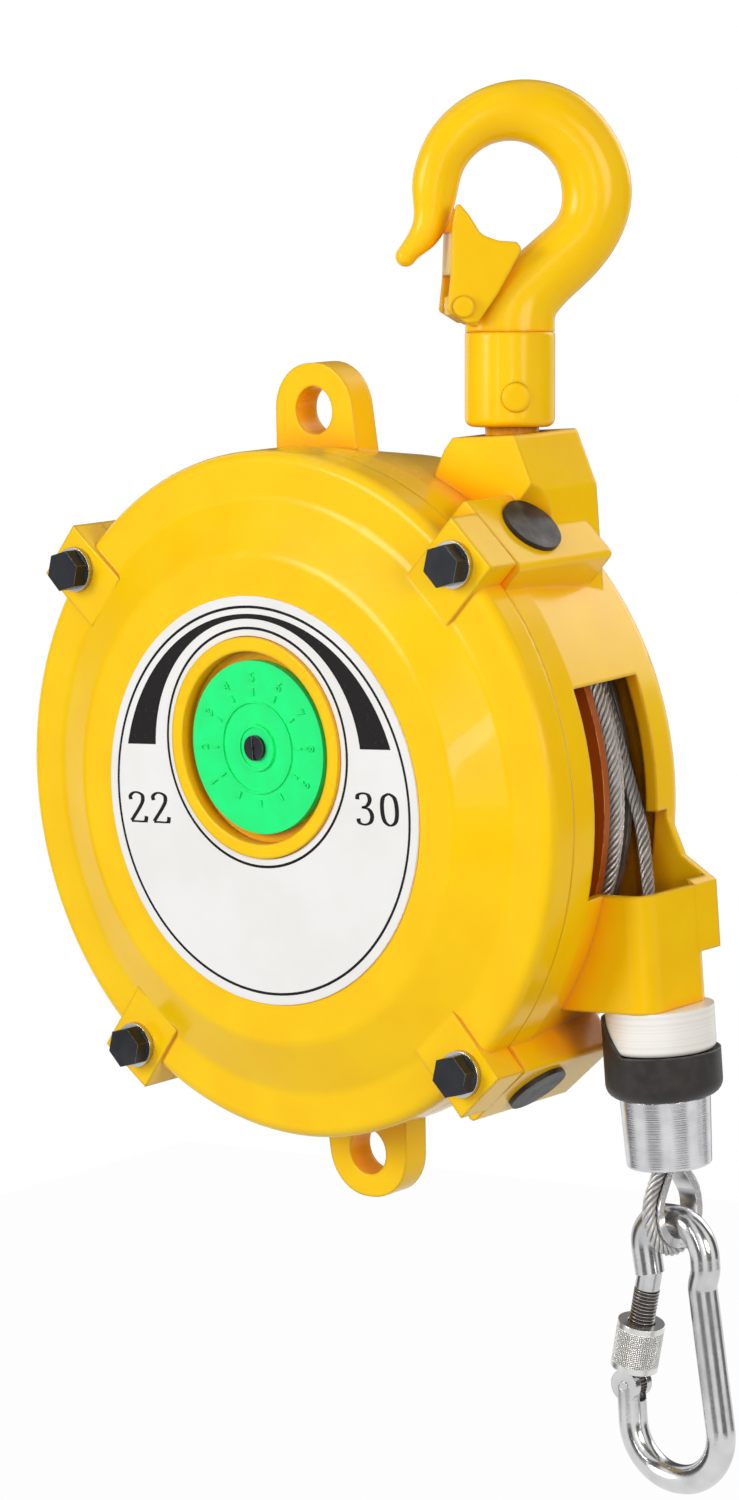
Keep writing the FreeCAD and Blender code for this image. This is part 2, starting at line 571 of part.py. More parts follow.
worm_foot = along(d.worm_angle, pitch_radius + d.worm_pitch_radius)

gear_cover = piece("rear_cover")
turned(gear_cover, "XY", [
    (0, d.case_back_y), (d.gear_cover_radius, d.case_back_y),
    (d.gear_cover_radius, d.gear_cover_back_y, d.gear_cover_round), (0, d.gear_cover_back_y)])
slab(gear_cover, "XZ", [box_outline(d.pocket_x, d.pocket_low, d.gear_cover_radius + 1,
                                     d.pocket_high)],
     d.case_back_y, d.gear_cover_back_y, cut=True)
gear_dome_y = d.gear_cover_back_y + d.gear_dome_depth
turned(gear_cover, "XY", [
    (0, d.gear_cover_back_y - 1), (d.gear_dome_radius, d.gear_cover_back_y - 1),
    (d.gear_dome_radius, gear_dome_y, 3), (0, gear_dome_y)])


def on_worm(reach):
    """A point on the worm's axis, counted down its length from the foot of the mesh."""
    return (worm_foot[0] + reach * sine(d.worm_angle), worm_foot[1] - reach * cosine(d.worm_angle))


cylinder_about(gear_cover, "XZ", on_worm(-d.worm_boss_high), on_worm(d.worm_boss_low),
               d.worm_boss_radius, d.mesh_y)
wheel_room = pitch_radius + d.tooth_module + 0.6
slab(gear_cover, "XZ", [circle(0, 0, wheel_room)], d.case_back_y,
     d.gear_cover_back_y - d.gear_cover_wall + 1.4, cut=True)
slab(gear_cover, "XZ", [circle(0, 0, d.wheel_nut_flats / root(size(3)) + 1.5)], d.case_back_y,
     wheel_nut_back_y + 1, cut=True)
worm_outer = d.worm_pitch_radius + d.tooth_module
cylinder_about(gear_cover, "XZ", on_worm(-d.worm_half_length - 1), on_worm(d.worm_half_length + 1),
               worm_outer + 0.6, d.mesh_y, cut=True)
worm_bush_radius = d.worm_journal + d.worm_bush_wall
cylinder_about(gear_cover, "XZ", on_worm(-d.worm_boss_high - 1), on_worm(d.worm_boss_low + 5),
               worm_bush_radius, d.mesh_y, cut=True)
slab(gear_cover, "XZ", [circle(x, z, d.gear_screw_radius + 0.3) for x, z in gear_screw_spots],
     d.case_back_y, d.gear_cover_back_y, cut=True)
plug_spot = (d.pocket_x, d.gear_plug_z)
cylinder_about(gear_cover, "XZ", (d.pocket_x - d.gear_cover_wall - 1, d.gear_plug_z),
               (d.pocket_x + 1, d.gear_plug_z), d.gear_plug_stem_radius, d.mesh_y - 3, cut=True)

gear_plug = piece("gear_plug")
cylinder_about(gear_plug, "XZ", (d.pocket_x - d.gear_plug_stem, d.gear_plug_z), plug_spot,
               d.gear_plug_stem_radius - d.seat, d.mesh_y - 3)
cylinder_about(gear_plug, "XZ", plug_spot, (d.pocket_x + d.gear_plug_head, d.gear_plug_z),
               d.gear_plug_radius, d.mesh_y - 3)
screws = piece("rear_screws")
slab(screws, "XZ", [circle(x, z, d.gear_screw_radius - d.seat) for x, z in gear_screw_spots],
     d.case_back_y - 3.5, d.gear_cover_back_y)
slab(screws, "XZ", [circle(x, z, d.gear_screw_head) for x, z in gear_screw_spots],
     d.gear_cover_back_y, d.gear_cover_back_y + 3)
worm_bushes = piece("worm_bushes")
for low, high in ((-d.worm_boss_high, -d.worm_boss_high + d.worm_bush_length),
                  (d.worm_boss_low - d.worm_bush_length, d.worm_boss_low)):
    cylinder_about(worm_bushes, "XZ", on_worm(low), on_worm(high), worm_bush_radius - d.seat,
                   d.mesh_y, bore=d.worm_journal + d.running)


# Each tooth is a slanted bar that follows the worm's lead, set half a pitch round from its foot.
lead_slope = d.tooth_module / (2 * d.worm_pitch_radius)
tooth_angle = d.worm_angle + 180 / d.wheel_teeth
back_shift = lead_slope * d.wheel_width / 2
tooth_tip = tooth_half - d.tooth_module * 0.36
tooth_foot = tooth_half + d.tooth_module * 0.45
tooth_sketch = sketch_on(wheel, "XZ", -wheel_back_y)
draw_outline(tooth_sketch, swing([
    (root_radius - 1, -tooth_foot - back_shift), (root_radius, -tooth_foot - back_shift),
    (pitch_radius + d.tooth_module, -tooth_tip - back_shift),
    (pitch_radius + d.tooth_module, tooth_tip - back_shift),
    (root_radius, tooth_foot - back_shift), (root_radius - 1, tooth_foot - back_shift)],
    tooth_angle))
tooth = wheel.newObject("PartDesign::Pad", "Tooth")
tooth.Profile = tooth_sketch
tooth.UseCustomVector = True
tooth.Direction = FreeCAD.Vector((-lead_slope * sine(tooth_angle)).value, -1,
                                 (lead_slope * cosine(tooth_angle)).value)
tooth.AlongSketchNormal = True
tooth.setExpression("Length", d.wheel_width.text)


def around(body, feature, count):
    """Repeats the body's last feature round the drum axis."""
    pattern = body.newObject("PartDesign::PolarPattern", "Around")
    pattern.Originals = [feature]
    pattern.Axis = (next(f for f in body.Origin.OriginFeatures if f.Role == "Y_Axis"), [""])
    pattern.Angle = 360
    pattern.setExpression("Occurrences", size(count).text)
    body.Tip = pattern
    return pattern


around(wheel, tooth, d.wheel_teeth)
wheel_nut = piece("wheel_nut")
slab(wheel_nut, "XZ", [hexagon(0, 0, d.wheel_nut_flats), circle(0, 0, d.wheel_thread + d.seat)],
     wheel_back_y, wheel_nut_back_y)

# ---------------------------------------------------------------- tension worm
# One-start worm with its journals and the hex end that the user turns; its Z runs down the axis
# and its X points at the wheel.
foot = FreeCAD.Vector(worm_foot[0].value, d.mesh_y.value, worm_foot[1].value)
AT_WORM = FreeCAD.Placement(foot - SEAT,
                            FreeCAD.Rotation(FreeCAD.Vector(0, 1, 0), 180 - d.worm_angle.value))
worm_pitch = math.pi * d.tooth_module
worm_root = d.worm_pitch_radius - 1.2 * d.tooth_module
worm = piece("worm_shaft", AT_WORM)
turned(worm, "XZ", [
    (0, -d.worm_boss_high), (d.worm_journal, -d.worm_boss_high),
    (d.worm_journal, -d.worm_half_length), (worm_root, -d.worm_half_length),
    (worm_root, d.worm_half_length), (d.worm_journal, d.worm_half_length),
    (d.worm_journal, d.worm_boss_low), (0, d.worm_boss_low)])
slab(worm, "XY", [hexagon(0, 0, d.worm_hex_flats)], d.worm_boss_low,
     d.worm_boss_low + d.worm_hex_length)
thread_half = d.tooth_module * 0.72
thread_sketch = sketch_on(worm, "XZ", 0)
draw_outline(thread_sketch, [
    (worm_root - 0.5, -worm_pitch - thread_half - d.tooth_module * 0.45),
    (worm_outer, -worm_pitch - thread_half + d.tooth_module * 0.36),
    (worm_outer, -worm_pitch + thread_half - d.tooth_module * 0.36),
    (worm_root - 0.5, -worm_pitch + thread_half + d.tooth_module * 0.45)])
thread = worm.newObject("PartDesign::AdditiveHelix", "Thread")
thread.Profile = thread_sketch
thread.ReferenceAxis = (thread_sketch, ["V_Axis"])
thread.Mode = 0
thread.setExpression("Pitch", worm_pitch.text)
thread.setExpression("Height", (worm_pitch * 2).text)

# ---------------------------------------------------------------- rope drum and its spring
# Cast drum: spring pan in front, flange, tapered rope rim behind, hub and ribs.
flange_radius = inside - d.flange_gap
pan_radius = flange_radius - d.flange_height
coil_front_radius = flange_radius - d.coil_inset
coil_back_radius = coil_front_radius - d.coil_taper
coil_fall = d.coil_taper / (d.coil_back_y - d.coil_front_y)
rope_stand = (d.rope_radius + d.gap) * root(1 + coil_fall * coil_fall)


def rim_radius(y):
    return coil_front_radius - rope_stand - coil_fall * (y - d.coil_front_y)


hub_bore = d.shaft_radius + d.running + d.bush_wall
hub_radius = hub_bore + d.hub_wall
pan_inside = pan_radius - d.pan_wall
flange_back_y = d.flange_y + d.flange_thick
web_back_y = d.web_y + d.web_thick
drum = piece("rope_drum")
turned(drum, "XY", [
    (hub_bore, d.web_y), (pan_inside, d.web_y), (pan_inside, d.drum_front_y),
    (pan_radius, d.drum_front_y), (pan_radius, d.flange_y), (flange_radius, d.flange_y),
    (flange_radius, flange_back_y), (rim_radius(flange_back_y), flange_back_y),
    (rim_radius(d.rim_back_y), d.rim_back_y), (coil_back_radius, d.rim_back_y),
    (coil_back_radius, d.rim_back_y + d.back_lip),
    (rim_radius(d.rim_back_y) - d.rim_wall_thick, d.rim_back_y + d.back_lip),
    (rim_radius(web_back_y) - d.rim_wall_thick - 1, web_back_y, 4), (hub_radius, web_back_y, 4),
    (hub_radius, d.hub_back_y), (hub_bore, d.hub_back_y)])
rib = slab(drum, "XY", [[
    (hub_radius - 1, web_back_y - 1), (rim_radius(web_back_y) - d.rim_wall_thick, web_back_y - 1),
    (rim_radius(62) - d.rim_wall_thick + 2, 62), (hub_radius - 1, 66)]],
    -d.rib_thick / 2, d.rib_thick / 2)
around(drum, rib, d.rib_count)
start_in = rim_radius(d.coil_front_y) - d.anchor_length
cylinder_about(drum, "XZ", along(d.coil_start_angle, start_in),
               along(d.coil_start_angle, flange_radius), d.anchor_radius, d.coil_front_y + 1,
               cut=True)
cover_screw_circle = pan_inside + d.pan_wall / 2
screw_count = int(d.cover_screw_count.value)
cover_screw_spots = [along(360 * i / screw_count + 30, cover_screw_circle) for i in range(screw_count)]
cover_plate_y = d.drum_front_y - d.spring_cover_thick
slab(drum, "XZ", [circle(x, z, d.cover_screw_shank) for x, z in cover_screw_spots],
     d.drum_front_y, cover_plate_y + d.cover_screw_length + 1, cut=True)
anchor = piece("rope_anchor")
cylinder_about(anchor, "XZ", along(d.coil_start_angle, start_in),
               along(d.coil_start_angle, rim_radius(d.coil_front_y + d.anchor_radius + 1) - 0.5),
               d.anchor_radius - d.seat, d.coil_front_y + 1)
drum_bushes = piece("drum_bushes")
for low, high in ((d.web_y, d.web_y + 10), (d.hub_back_y - 10, d.hub_back_y)):
    slab(drum_bushes, "XZ", [circle(0, 0, hub_bore - d.seat), circle(0, 0, d.shaft_radius + d.running)],
         low, high)
spring_cover = piece("spring_cover")
slab(spring_cover, "XZ",
     [circle(0, 0, pan_radius), circle(0, 0, d.spring_cover_hole)]
     + [circle(x, z, d.cover_screw_shank + 0.1) for x, z in cover_screw_spots],
     cover_plate_y, d.drum_front_y)
cover_screws = piece("spring_cover_screws")
slab(cover_screws, "XZ", [circle(x, z, d.cover_screw_head) for x, z in cover_screw_spots],
     cover_plate_y - d.cover_screw_head_thick, cover_plate_y)
slab(cover_screws, "XZ", [circle(x, z, d.cover_screw_shank - d.seat) for x, z in cover_screw_spots],
     cover_plate_y, cover_plate_y + d.cover_screw_length)


def shaped(label, shape, place=None):
    """A piece whose shape comes from curves that neither sketches nor primitives give."""
    made = doc.addObject("Part::Feature", label)
    made.Label = label
    made.Shape = shape
    made.Placement = place if place else HANGING
    pieces.append(made)
    return made


def spiral_spring():
    """Flat strip wound in half turns, close coils against the pan and an open run to the arbor."""
    strip, coils = d.spring_strip.value, int(d.spring_coils.value)
    outermost = pan_inside.value - strip
    innermost = d.arbor_radius.value + d.gap.value + strip / 2
    step = (outermost - d.spring_inner.value) / (2 * coils)
    reach = [outermost - step * i for i in range(2 * coils + 1)]
    open_half_turns = 4
    drop = (reach[-1] - innermost) / open_half_turns
    reach += [reach[-1] - drop * (i + 1) for i in range(open_half_turns)] + [innermost]
    front = d.drum_front_y.value + 2
    edges = []
    for side in (strip / 2, -strip / 2):
        run = []
        for i in range(len(reach) - 1):
            sign = 1 if i % 2 == 0 else -1
            radius = (reach[i] + reach[i + 1]) / 2
            middle = sign * (reach[i] - reach[i + 1]) / 2
            r = radius + side
            points = [(middle + sign * r, 0), (middle, sign * r), (middle - sign * r, 0)]
            run.append(Part.Arc(*[FreeCAD.Vector(x, front, z) for x, z in points]).toShape())
        edges.append(run)
    ends = [Part.makeLine(edges[0][k].Vertexes[k].Point, edges[1][k].Vertexes[k].Point)
            for k in (0, -1)]
    wire = Part.Wire(Part.__sortEdges__(edges[0] + edges[1] + ends))
    width = d.web_y.value - 1.4 - front
    return Part.Face(wire).extrude(FreeCAD.Vector(0, width, 0))


shaped("power_spring", spiral_spring())

# ---------------------------------------------------------------- wire rope on the drum and to the spout
# Two turns ride the drum from the anchor; the next one is the strand that runs off to the spout.
def swept(edges, radius):
    """A round rope along edges that follow on smoothly."""
    first = edges[0]
    start = first.FirstParameter
    ring = Part.Wire(Part.makeCircle(radius, first.valueAt(start), first.tangentAt(start)))
    return Part.Wire(edges).makePipeShell([ring], True, True)


def on_coil(turn):
    """A point on the coil's centre line, after so many turns from the anchor."""
    angle = d.coil_start_angle - 360 * turn
    y = d.coil_front_y + d.coil_pitch * turn
    x, z = along(angle, coil_front_radius - coil_fall * (y - d.coil_front_y))
    return FreeCAD.Vector(x.value, y.value, z.value)


steps = 24 * int(d.coil_turns.value)
winding = Part.BSplineCurve()
winding.interpolate([on_coil(i / 24) for i in range(steps + 1)])
shaped("rope_coil", swept([winding.toShape()], d.rope_radius.value))


def strand(points, bends, radius, lead_in):
    """Round rope along straight runs with rounded corners, after an edge that leads in."""
    edges, start = [lead_in], points[0]
    for i in range(1, len(points) - 1):
        back = (points[i - 1] - points[i]).normalize()
        ahead = (points[i + 1] - points[i]).normalize()
        half = back.getAngle(ahead) / 2
        cut = bends[i - 1] / math.tan(half)
        middle = points[i] + (back + ahead).normalize() * (bends[i - 1] / math.sin(half) - bends[i - 1])
        near, far = points[i] + back * cut, points[i] + ahead * cut
        edges.append(Part.makeLine(start, near))
        edges.append(Part.Arc(near, middle, far).toShape())
        start = far
    edges.append(Part.makeLine(start, points[-1]))
    return swept(edges, radius)


def on_wrap(angle):
    x, z = along(angle, coil_back_radius)
    return FreeCAD.Vector(x.value, d.coil_back_y.value, z.value)


leave_angle = d.rope_lead_angle
wrap_end = d.rope_wrap_angle
wrap = Part.Arc(on_wrap(wrap_end), on_wrap((wrap_end + leave_angle) / 2), on_wrap(leave_angle)).toShape()
off = on_wrap(leave_angle)
downhill = FreeCAD.Vector(sine(leave_angle).value, 0, -cosine(leave_angle).value)
shaped("rope_lead", strand(
    [off, off + downhill * d.lead_straight.value,
     FreeCAD.Vector(rope_x.value, d.load_y.value, d.lead_foot_z.value),
     FreeCAD.Vector(rope_x.value, d.load_y.value, d.run_top.value)],
    [d.lead_bend.value, d.lead_foot_bend.value], d.rope_radius.value, wrap))

# ---------------------------------------------------------------- rope guide in the spout
guide = piece("rope_guide")
guide_top = d.spout_low + d.spout_floor + d.guide_neck_above
guide_axis = ((rope_x, 0), (rope_x, 10))
turned(guide, "XZ", [
    (rope_x + d.guide_bore, d.guide_low), (rope_x + d.guide_radius, d.guide_low, 2),
    (rope_x + d.guide_radius, d.spout_low), (rope_x + d.guide_neck - d.seat, d.spout_low),
    (rope_x + d.guide_neck - d.seat, guide_top), (rope_x + d.guide_flare, guide_top),
    (rope_x + d.guide_bore, d.spout_low)], guide_axis, d.load_y)

# ------------------------------------------------ rope end: run, bumper, sleeve, eye and thimble
run_low = d.bumper_low - 8
run = piece("rope_run")
slab(run, "XY", [circle(rope_x, d.load_y, d.rope_radius)], run_low, d.run_top)
bumper = piece("rope_bumper")
skirt_inner = d.bumper_radius - d.skirt_wall
turned(bumper, "XZ", [
    (rope_x + d.rope_radius + d.seat, d.bumper_low), (rope_x + d.bumper_radius, d.bumper_low,
     d.bumper_round), (rope_x + d.bumper_radius, d.skirt_top), (rope_x + skirt_inner, d.skirt_top),
    (rope_x + skirt_inner, d.bumper_top), (rope_x + d.rope_radius + d.seat, d.bumper_top)],
    guide_axis, d.load_y)
slab(bumper, "YZ", [[
    (d.load_y - 30, d.bumper_top + 0.6), (d.load_y + 30, d.bumper_top + 0.6),
    (d.load_y + 30, d.skirt_top + 1), (d.load_y - 30, d.skirt_top + 1)]],
    rope_x - 6, rope_x + 30, cut=True)
sleeve = piece("rope_sleeve")
sleeve_step = d.bumper_low - 9
turned(sleeve, "XZ", [
    (rope_x + d.rope_radius + d.seat, d.bumper_low), (rope_x + d.sleeve_top_radius, d.bumper_low),
    (rope_x + d.sleeve_low_radius, d.sleeve_low, 1), (rope_x + d.sleeve_bore, d.sleeve_low),
    (rope_x + d.sleeve_bore, sleeve_step), (rope_x + d.rope_radius + d.seat, sleeve_step)],
    guide_axis, d.load_y)
eye = piece("rope_loop")
eye_round = d.eye_radius - 0.05
eye_low = d.eye_centre - d.eye_radius
eye_side = d.eye_centre + 5
eye_neck = d.sleeve_low + 0.6
mid = d.load_y
bar(eye, [
    (mid - d.eye_top_half, sleeve_step - 0.5), (mid - d.eye_top_half, eye_neck, 8),
    (mid - d.eye_radius, eye_side, eye_round), (mid - d.eye_radius, eye_low, eye_round),
    (mid + d.eye_radius, eye_low, eye_round), (mid + d.eye_radius, eye_side, eye_round),
    (mid + d.eye_top_half, eye_neck, 8), (mid + d.eye_top_half, sleeve_step - 0.5)],
    d.rope_radius, "YZ", rope_x)
thimble = piece("thimble")
thimble_top = d.sleeve_low - 1


def eye_outline(radius, top=thimble_top):
    """The eye's outline at a distance inside the rope's centre line."""
    neck = 0.5 + (radius - d.thimble_radius) * 1.2
    low = d.eye_centre - radius
    tight = radius - 0.2
    return [(mid - radius, low, tight), (mid + radius, low, tight),
            (mid + radius, eye_side - 1, tight), (mid + neck, top),
            (mid - neck, top), (mid - radius, eye_side - 1, tight)]


rope_inside = d.eye_radius - d.rope_radius - d.running
flange_reach = rope_inside + 1.6
slab(thimble, "YZ", [eye_outline(flange_reach)],
     rope_x - d.thimble_half, rope_x + d.thimble_half)
slab(thimble, "YZ", [eye_outline(d.thimble_radius, thimble_top + 2)],
     rope_x - d.thimble_half, rope_x + d.thimble_half, cut=True)
slab(thimble, "YZ", [box_outline(mid - 20, d.eye_centre - 20, mid + 20, thimble_top + 1),
                     eye_outline(rope_inside)],
     rope_x - d.rope_radius - 0.1, rope_x + d.rope_radius + 0.1, cut=True)

# ---------------------------------------------------------------- snap hook with its gate and lock sleeve
gate_x, gate_z = rope_x + d.gate_pivot_x, d.gate_pivot_z


def on_gate(reach):
    """A point on the gate's axis, counted up from its pin."""
    return (gate_x + reach * sine(d.gate_lean), gate_z + reach * cosine(d.gate_lean))


nose_low, nose_high = d.gate_reach + 0.5, d.gate_reach + 7.4
snap = piece("snap_body")
snap_top = d.snap_top_z + d.snap_top_radius
snap_low = d.snap_low_z - d.snap_low_radius
bar(snap, [
    on_gate(nose_high - 1.4), (rope_x - d.snap_top_radius, d.snap_top_z + 2, 8),
    (rope_x - d.snap_top_radius, snap_top, d.snap_top_radius - 0.1 - 3),
    (rope_x + d.snap_top_radius, snap_top, d.snap_top_radius - 0.1),
    (rope_x + d.snap_top_radius, d.snap_side_top_z + 5.5, 6),
    (rope_x + d.snap_side_top_x, d.snap_side_top_z, 6),
    (rope_x + d.snap_side_low_x, snap_low, d.snap_low_radius - 1.4),
    (rope_x + d.snap_low_x - d.snap_low_radius, snap_low, d.snap_low_radius - 1.2),
    (gate_x, gate_z)], d.snap_wire, "XZ", mid)
cylinder_about(snap, "XZ", on_gate(nose_low), on_gate(nose_high), d.nose_radius, mid)
slab(snap, "XZ", [circle(gate_x, gate_z, d.fork_radius)], mid - d.snap_wire + 0.6,
     mid + d.snap_wire - 0.6)
slab(snap, "XZ", [box_outline(gate_x - 7, gate_z - d.fork_radius - 0.3, gate_x + 7, gate_z + 7)],
     mid - d.gate_tongue / 2 - d.gap / 2, mid + d.gate_tongue / 2 + d.gap / 2, cut=True)
slab(snap, "XZ", [circle(gate_x, gate_z, d.gate_pin_radius)], mid - 6, mid + 6, cut=True)
gate = piece("gate_bar")
slab(gate, "XZ", [circle(gate_x, gate_z, d.snap_wire - 0.5)], mid - d.gate_tongue / 2,
     mid + d.gate_tongue / 2)
side = d.gate_rod - 0.4
slab(gate, "XZ", [[(p[0] + w * cosine(d.gate_lean), p[1] - w * sine(d.gate_lean))
                   for p, w in ((on_gate(0), -side), (on_gate(0), side), (on_gate(8), side),
                                (on_gate(8), -side))]],
     mid - d.gate_tongue / 2, mid + d.gate_tongue / 2)
cylinder_about(gate, "XZ", on_gate(d.fork_radius + 0.35), on_gate(d.gate_reach), d.gate_rod, mid)
slab(gate, "XZ", [circle(gate_x, gate_z, d.gate_pin_radius + d.running)], mid - 6, mid + 6, cut=True)
gate_pin = piece("gate_pin")
slab(gate_pin, "XZ", [circle(gate_x, gate_z, d.gate_pin_radius - d.seat)],
     mid - d.snap_wire + 0.2, mid + d.snap_wire - 0.2)
lock = piece("lock_sleeve")
lock_low = d.fork_radius + d.lock_sleeve_start - 4.2
cylinder_about(lock, "XZ", on_gate(lock_low), on_gate(lock_low + d.lock_sleeve_length),
               d.lock_sleeve_radius, mid, bore=d.gate_rod + d.gap)

# ---------------------------------------------------------------- swivel stem under the top hook
stem_axis = ((d.stem_x, 0), (d.stem_x, 10))
washer_low = d.nut_pocket_top - d.washer_thick
nut_low = washer_low - d.nut_thick
thread_radius = d.stem_radius - 1.2
stem = piece("swivel_stem")
turned(stem, "XZ", [
    (d.stem_x, nut_low - 2), (d.stem_x + thread_radius, nut_low - 2),
    (d.stem_x + thread_radius, washer_low - d.running), (d.stem_x + d.stem_radius, washer_low - d.running),
    (d.stem_x + d.stem_radius, d.pin_z + d.stem_head, 2), (d.stem_x, d.pin_z + d.stem_head)],
    stem_axis, d.load_y)
pin_way = (-sine(d.hook_turn), cosine(d.hook_turn))
cylinder_about(stem, "XY", (d.stem_x - 12 * pin_way[0], d.load_y - 12 * pin_way[1]),
               (d.stem_x + 12 * pin_way[0], d.load_y + 12 * pin_way[1]),
               d.cross_pin_radius + d.running, d.pin_z, cut=True)
nut = piece("stem_nut")
slab(nut, "XY", [hexagon(d.stem_x, d.load_y, d.nut_flats), circle(d.stem_x, d.load_y,
     thread_radius + d.seat)], nut_low, washer_low - d.running)
washer = piece("thrust_washer")
slab(washer, "XY", [circle(d.stem_x, d.load_y, d.washer_radius),
                    circle(d.stem_x, d.load_y, d.stem_radius + d.running)],
     washer_low, d.nut_pocket_top)

# ---------------------------------------------------------------- top hook, in its own frame at the cross pin
socket = piece("hook_socket", AT_HOOK)
spigot_bore_low = d.spigot_low - d.seat
turned(socket, "XZ", [(0, d.socket_low), (d.socket_radius, d.socket_low, d.socket_round),
                      (d.socket_radius, d.socket_high, 1), (0, d.socket_high)])
slab(socket, "XY", [circle(0, 0, d.socket_bore)], d.socket_low, d.spigot_low - 1.5, cut=True)
slab(socket, "XY", [circle(0, 0, d.spigot_radius + d.seat)], spigot_bore_low, d.socket_high, cut=True)
slab(socket, "XZ", [circle(0, 0, d.cross_pin_radius + d.seat)], -d.socket_radius - 1,
     d.socket_radius + 1, cut=True)
pin_seat = d.socket_radius - 1
slab(socket, "XZ", [circle(0, 0, d.cross_pin_head + d.seat)], pin_seat, d.socket_radius + 1, cut=True)
slab(socket, "XZ", [circle(0, 0, d.cross_pin_head + d.seat)], -d.socket_radius - 1, -pin_seat, cut=True)
cross_pin = piece("socket_pin", AT_HOOK)
head_end = pin_seat + d.cross_pin_head_thick
turned(cross_pin, "XY", [
    (0, -head_end), (d.cross_pin_head, -head_end, 1.4), (d.cross_pin_head, -pin_seat),
    (d.cross_pin_radius, -pin_seat), (d.cross_pin_radius, pin_seat), (d.cross_pin_head, pin_seat),
    (d.cross_pin_head, head_end, 1.4), (0, head_end)])

# The forging is lofted through sections: rise or angle, then half width in the hook's plane and
# half thickness across it. Round the bowl the inner edge keeps the bowl's radius.
base_sections = [(0, d.socket_high + d.seat, 0, 15.2, 11), (0.4, 27, -4, 14.9, 10.5),
                 (4, 33.5, -22, 13.2, 9.8), (11, 40.3, -38, 11.8, 9.4), (19, 47.4, -41, 11.5, 9.2)]
bowl_sections = [(-28, 11.2, 9.2), (0, 11.9, 9.4), (30, 11.6, 9.2), (60, 11.3, 9), (90, 10.1, 8.6),
                 (120, 8.9, 8), (145, 8.3, 7.4), (172, 7.9, 6.6)]
tip_sections = [(-27, 60.4, 160, 6.2, 5.6), (-30.6, 53, 143, 4.7, 4.5), (-35.6, 47.4, 135, 3.5, 3.4)]
sections = []
for x, z, lean, half, thick in base_sections:
    sections.append((size(x), size(z), lean, half, thick))
for angle, half, thick in bowl_sections:
    reach = d.bowl_radius + half
    sections.append((reach * cosine(angle), d.bowl_rise + reach * sine(angle), angle, half, thick))
for x, z, lean, half, thick in tip_sections:
    sections.append((size(x), size(z), lean, half, thick))
rings = []
for x, z, lean, half, thick in sections:
    ring = doc.addObject("Part::Ellipse", "Section")
    ring.MajorRadius, ring.MinorRadius = half, thick
    ring.Placement = FreeCAD.Placement(FreeCAD.Vector(x.value, 0, z.value),
                                       FreeCAD.Rotation(FreeCAD.Vector(0, 1, 0), -lean))
    rings.append(ring)
loft = doc.addObject("Part::Loft", "Forging")
loft.Sections, loft.Solid, loft.Ruled = rings, True, False
tip = doc.addObject("Part::Sphere", "Tip")
tip.Radius = tip_sections[-1][3]
tip.Placement.Base = FreeCAD.Vector(tip_sections[-1][0], 0, tip_sections[-1][1])
spigot = doc.addObject("Part::Cylinder", "Spigot")
spigot.setExpression("Radius", d.spigot_radius.text)
spigot.setExpression("Height", (d.socket_high + 3 - d.spigot_low).text)
spigot.Placement.Base = FreeCAD.Vector(0, 0, d.spigot_low.value)
doc.recompute()
lug_points = [(-21.6, 27.6), (-21.6, 33.5), (-16, 37.5), (-4, 36), (-4, 24), (-14, 24)]
lug_face = Part.Face(Part.makePolygon([FreeCAD.Vector(x, -d.latch_lug_half.value, z)
                                       for x, z in lug_points + lug_points[:1]]))
lug = doc.addObject("Part::Feature", "LatchLug")
lug.Shape = lug_face.extrude(FreeCAD.Vector(0, 2 * d.latch_lug_half.value, 0))
rivet_hole = doc.addObject("Part::Cylinder", "RivetHole")
rivet_hole.setExpression("Radius", d.latch_rivet_radius.text)
rivet_hole.setExpression("Height", (d.latch_half * 4).text)
rivet_hole.Placement = FreeCAD.Placement(
    FreeCAD.Vector(d.latch_x.value, 2 * d.latch_half.value, d.latch_z.value),
    FreeCAD.Rotation(FreeCAD.Vector(1, 0, 0), 90))
whole = doc.addObject("Part::MultiFuse", "WholeForging")
whole.Shapes = [loft, tip, spigot, lug]
forging = doc.addObject("Part::Cut", "hook_forging")
forging.Base, forging.Tool = whole, rivet_hole
forging.Label = "hook_forging"
forging.Placement = AT_HOOK
pieces.append(forging)

rivet = piece("latch_rivet", AT_HOOK)
slab(rivet, "XZ", [circle(d.latch_x, d.latch_z, d.latch_rivet_radius - d.seat)],
     -d.latch_half - 0.4, d.latch_half + 0.4)
for low, high in ((-d.latch_half - 1.6, -d.latch_half - 0.4), (d.latch_half + 0.4, d.latch_half + 1.6)):
    slab(rivet, "XZ", [circle(d.latch_x, d.latch_z, d.latch_rivet_radius + 1.2)], low, high)
latch = piece("latch_plate", AT_HOOK)
cheek = [(-19.6, 65.8, 1), (-21.2, 58), (-21.8, 40), (-23, 29, 1.5), (-16.5, 24.9, 1.5),
         (-12.4, 25.2, 1), (-5.6, 35), (2.5, 49.8, 2), (0.5, 52.1, 1), (-5.6, 52.5, 6),
         (-11.4, 54.5, 6), (-15.5, 61)]
sheet_in = d.latch_half - d.latch_sheet
for low, high in ((-d.latch_half, -sheet_in), (sheet_in, d.latch_half)):
    slab(latch, "XZ", [cheek], low, high)
slab(latch, "XZ", [[(-21.8, 41), (-21.8 + d.latch_sheet, 41), (-21.3 + d.latch_sheet, 55.5),
                    (-21.3, 55.5)]], -sheet_in, sheet_in)
slab(latch, "XZ", [circle(d.latch_x, d.latch_z, d.latch_rivet_radius + d.running)],
     -d.latch_half, d.latch_half, cut=True)
latch_spring = piece("latch_spring", AT_HOOK)
slab(latch_spring, "XZ", [circle(d.latch_x, d.latch_z, d.latch_rivet_radius + 1.7),
                          circle(d.latch_x, d.latch_z, d.latch_rivet_radius + 0.4)],
     d.latch_lug_half + 0.2, sheet_in - 0.2)

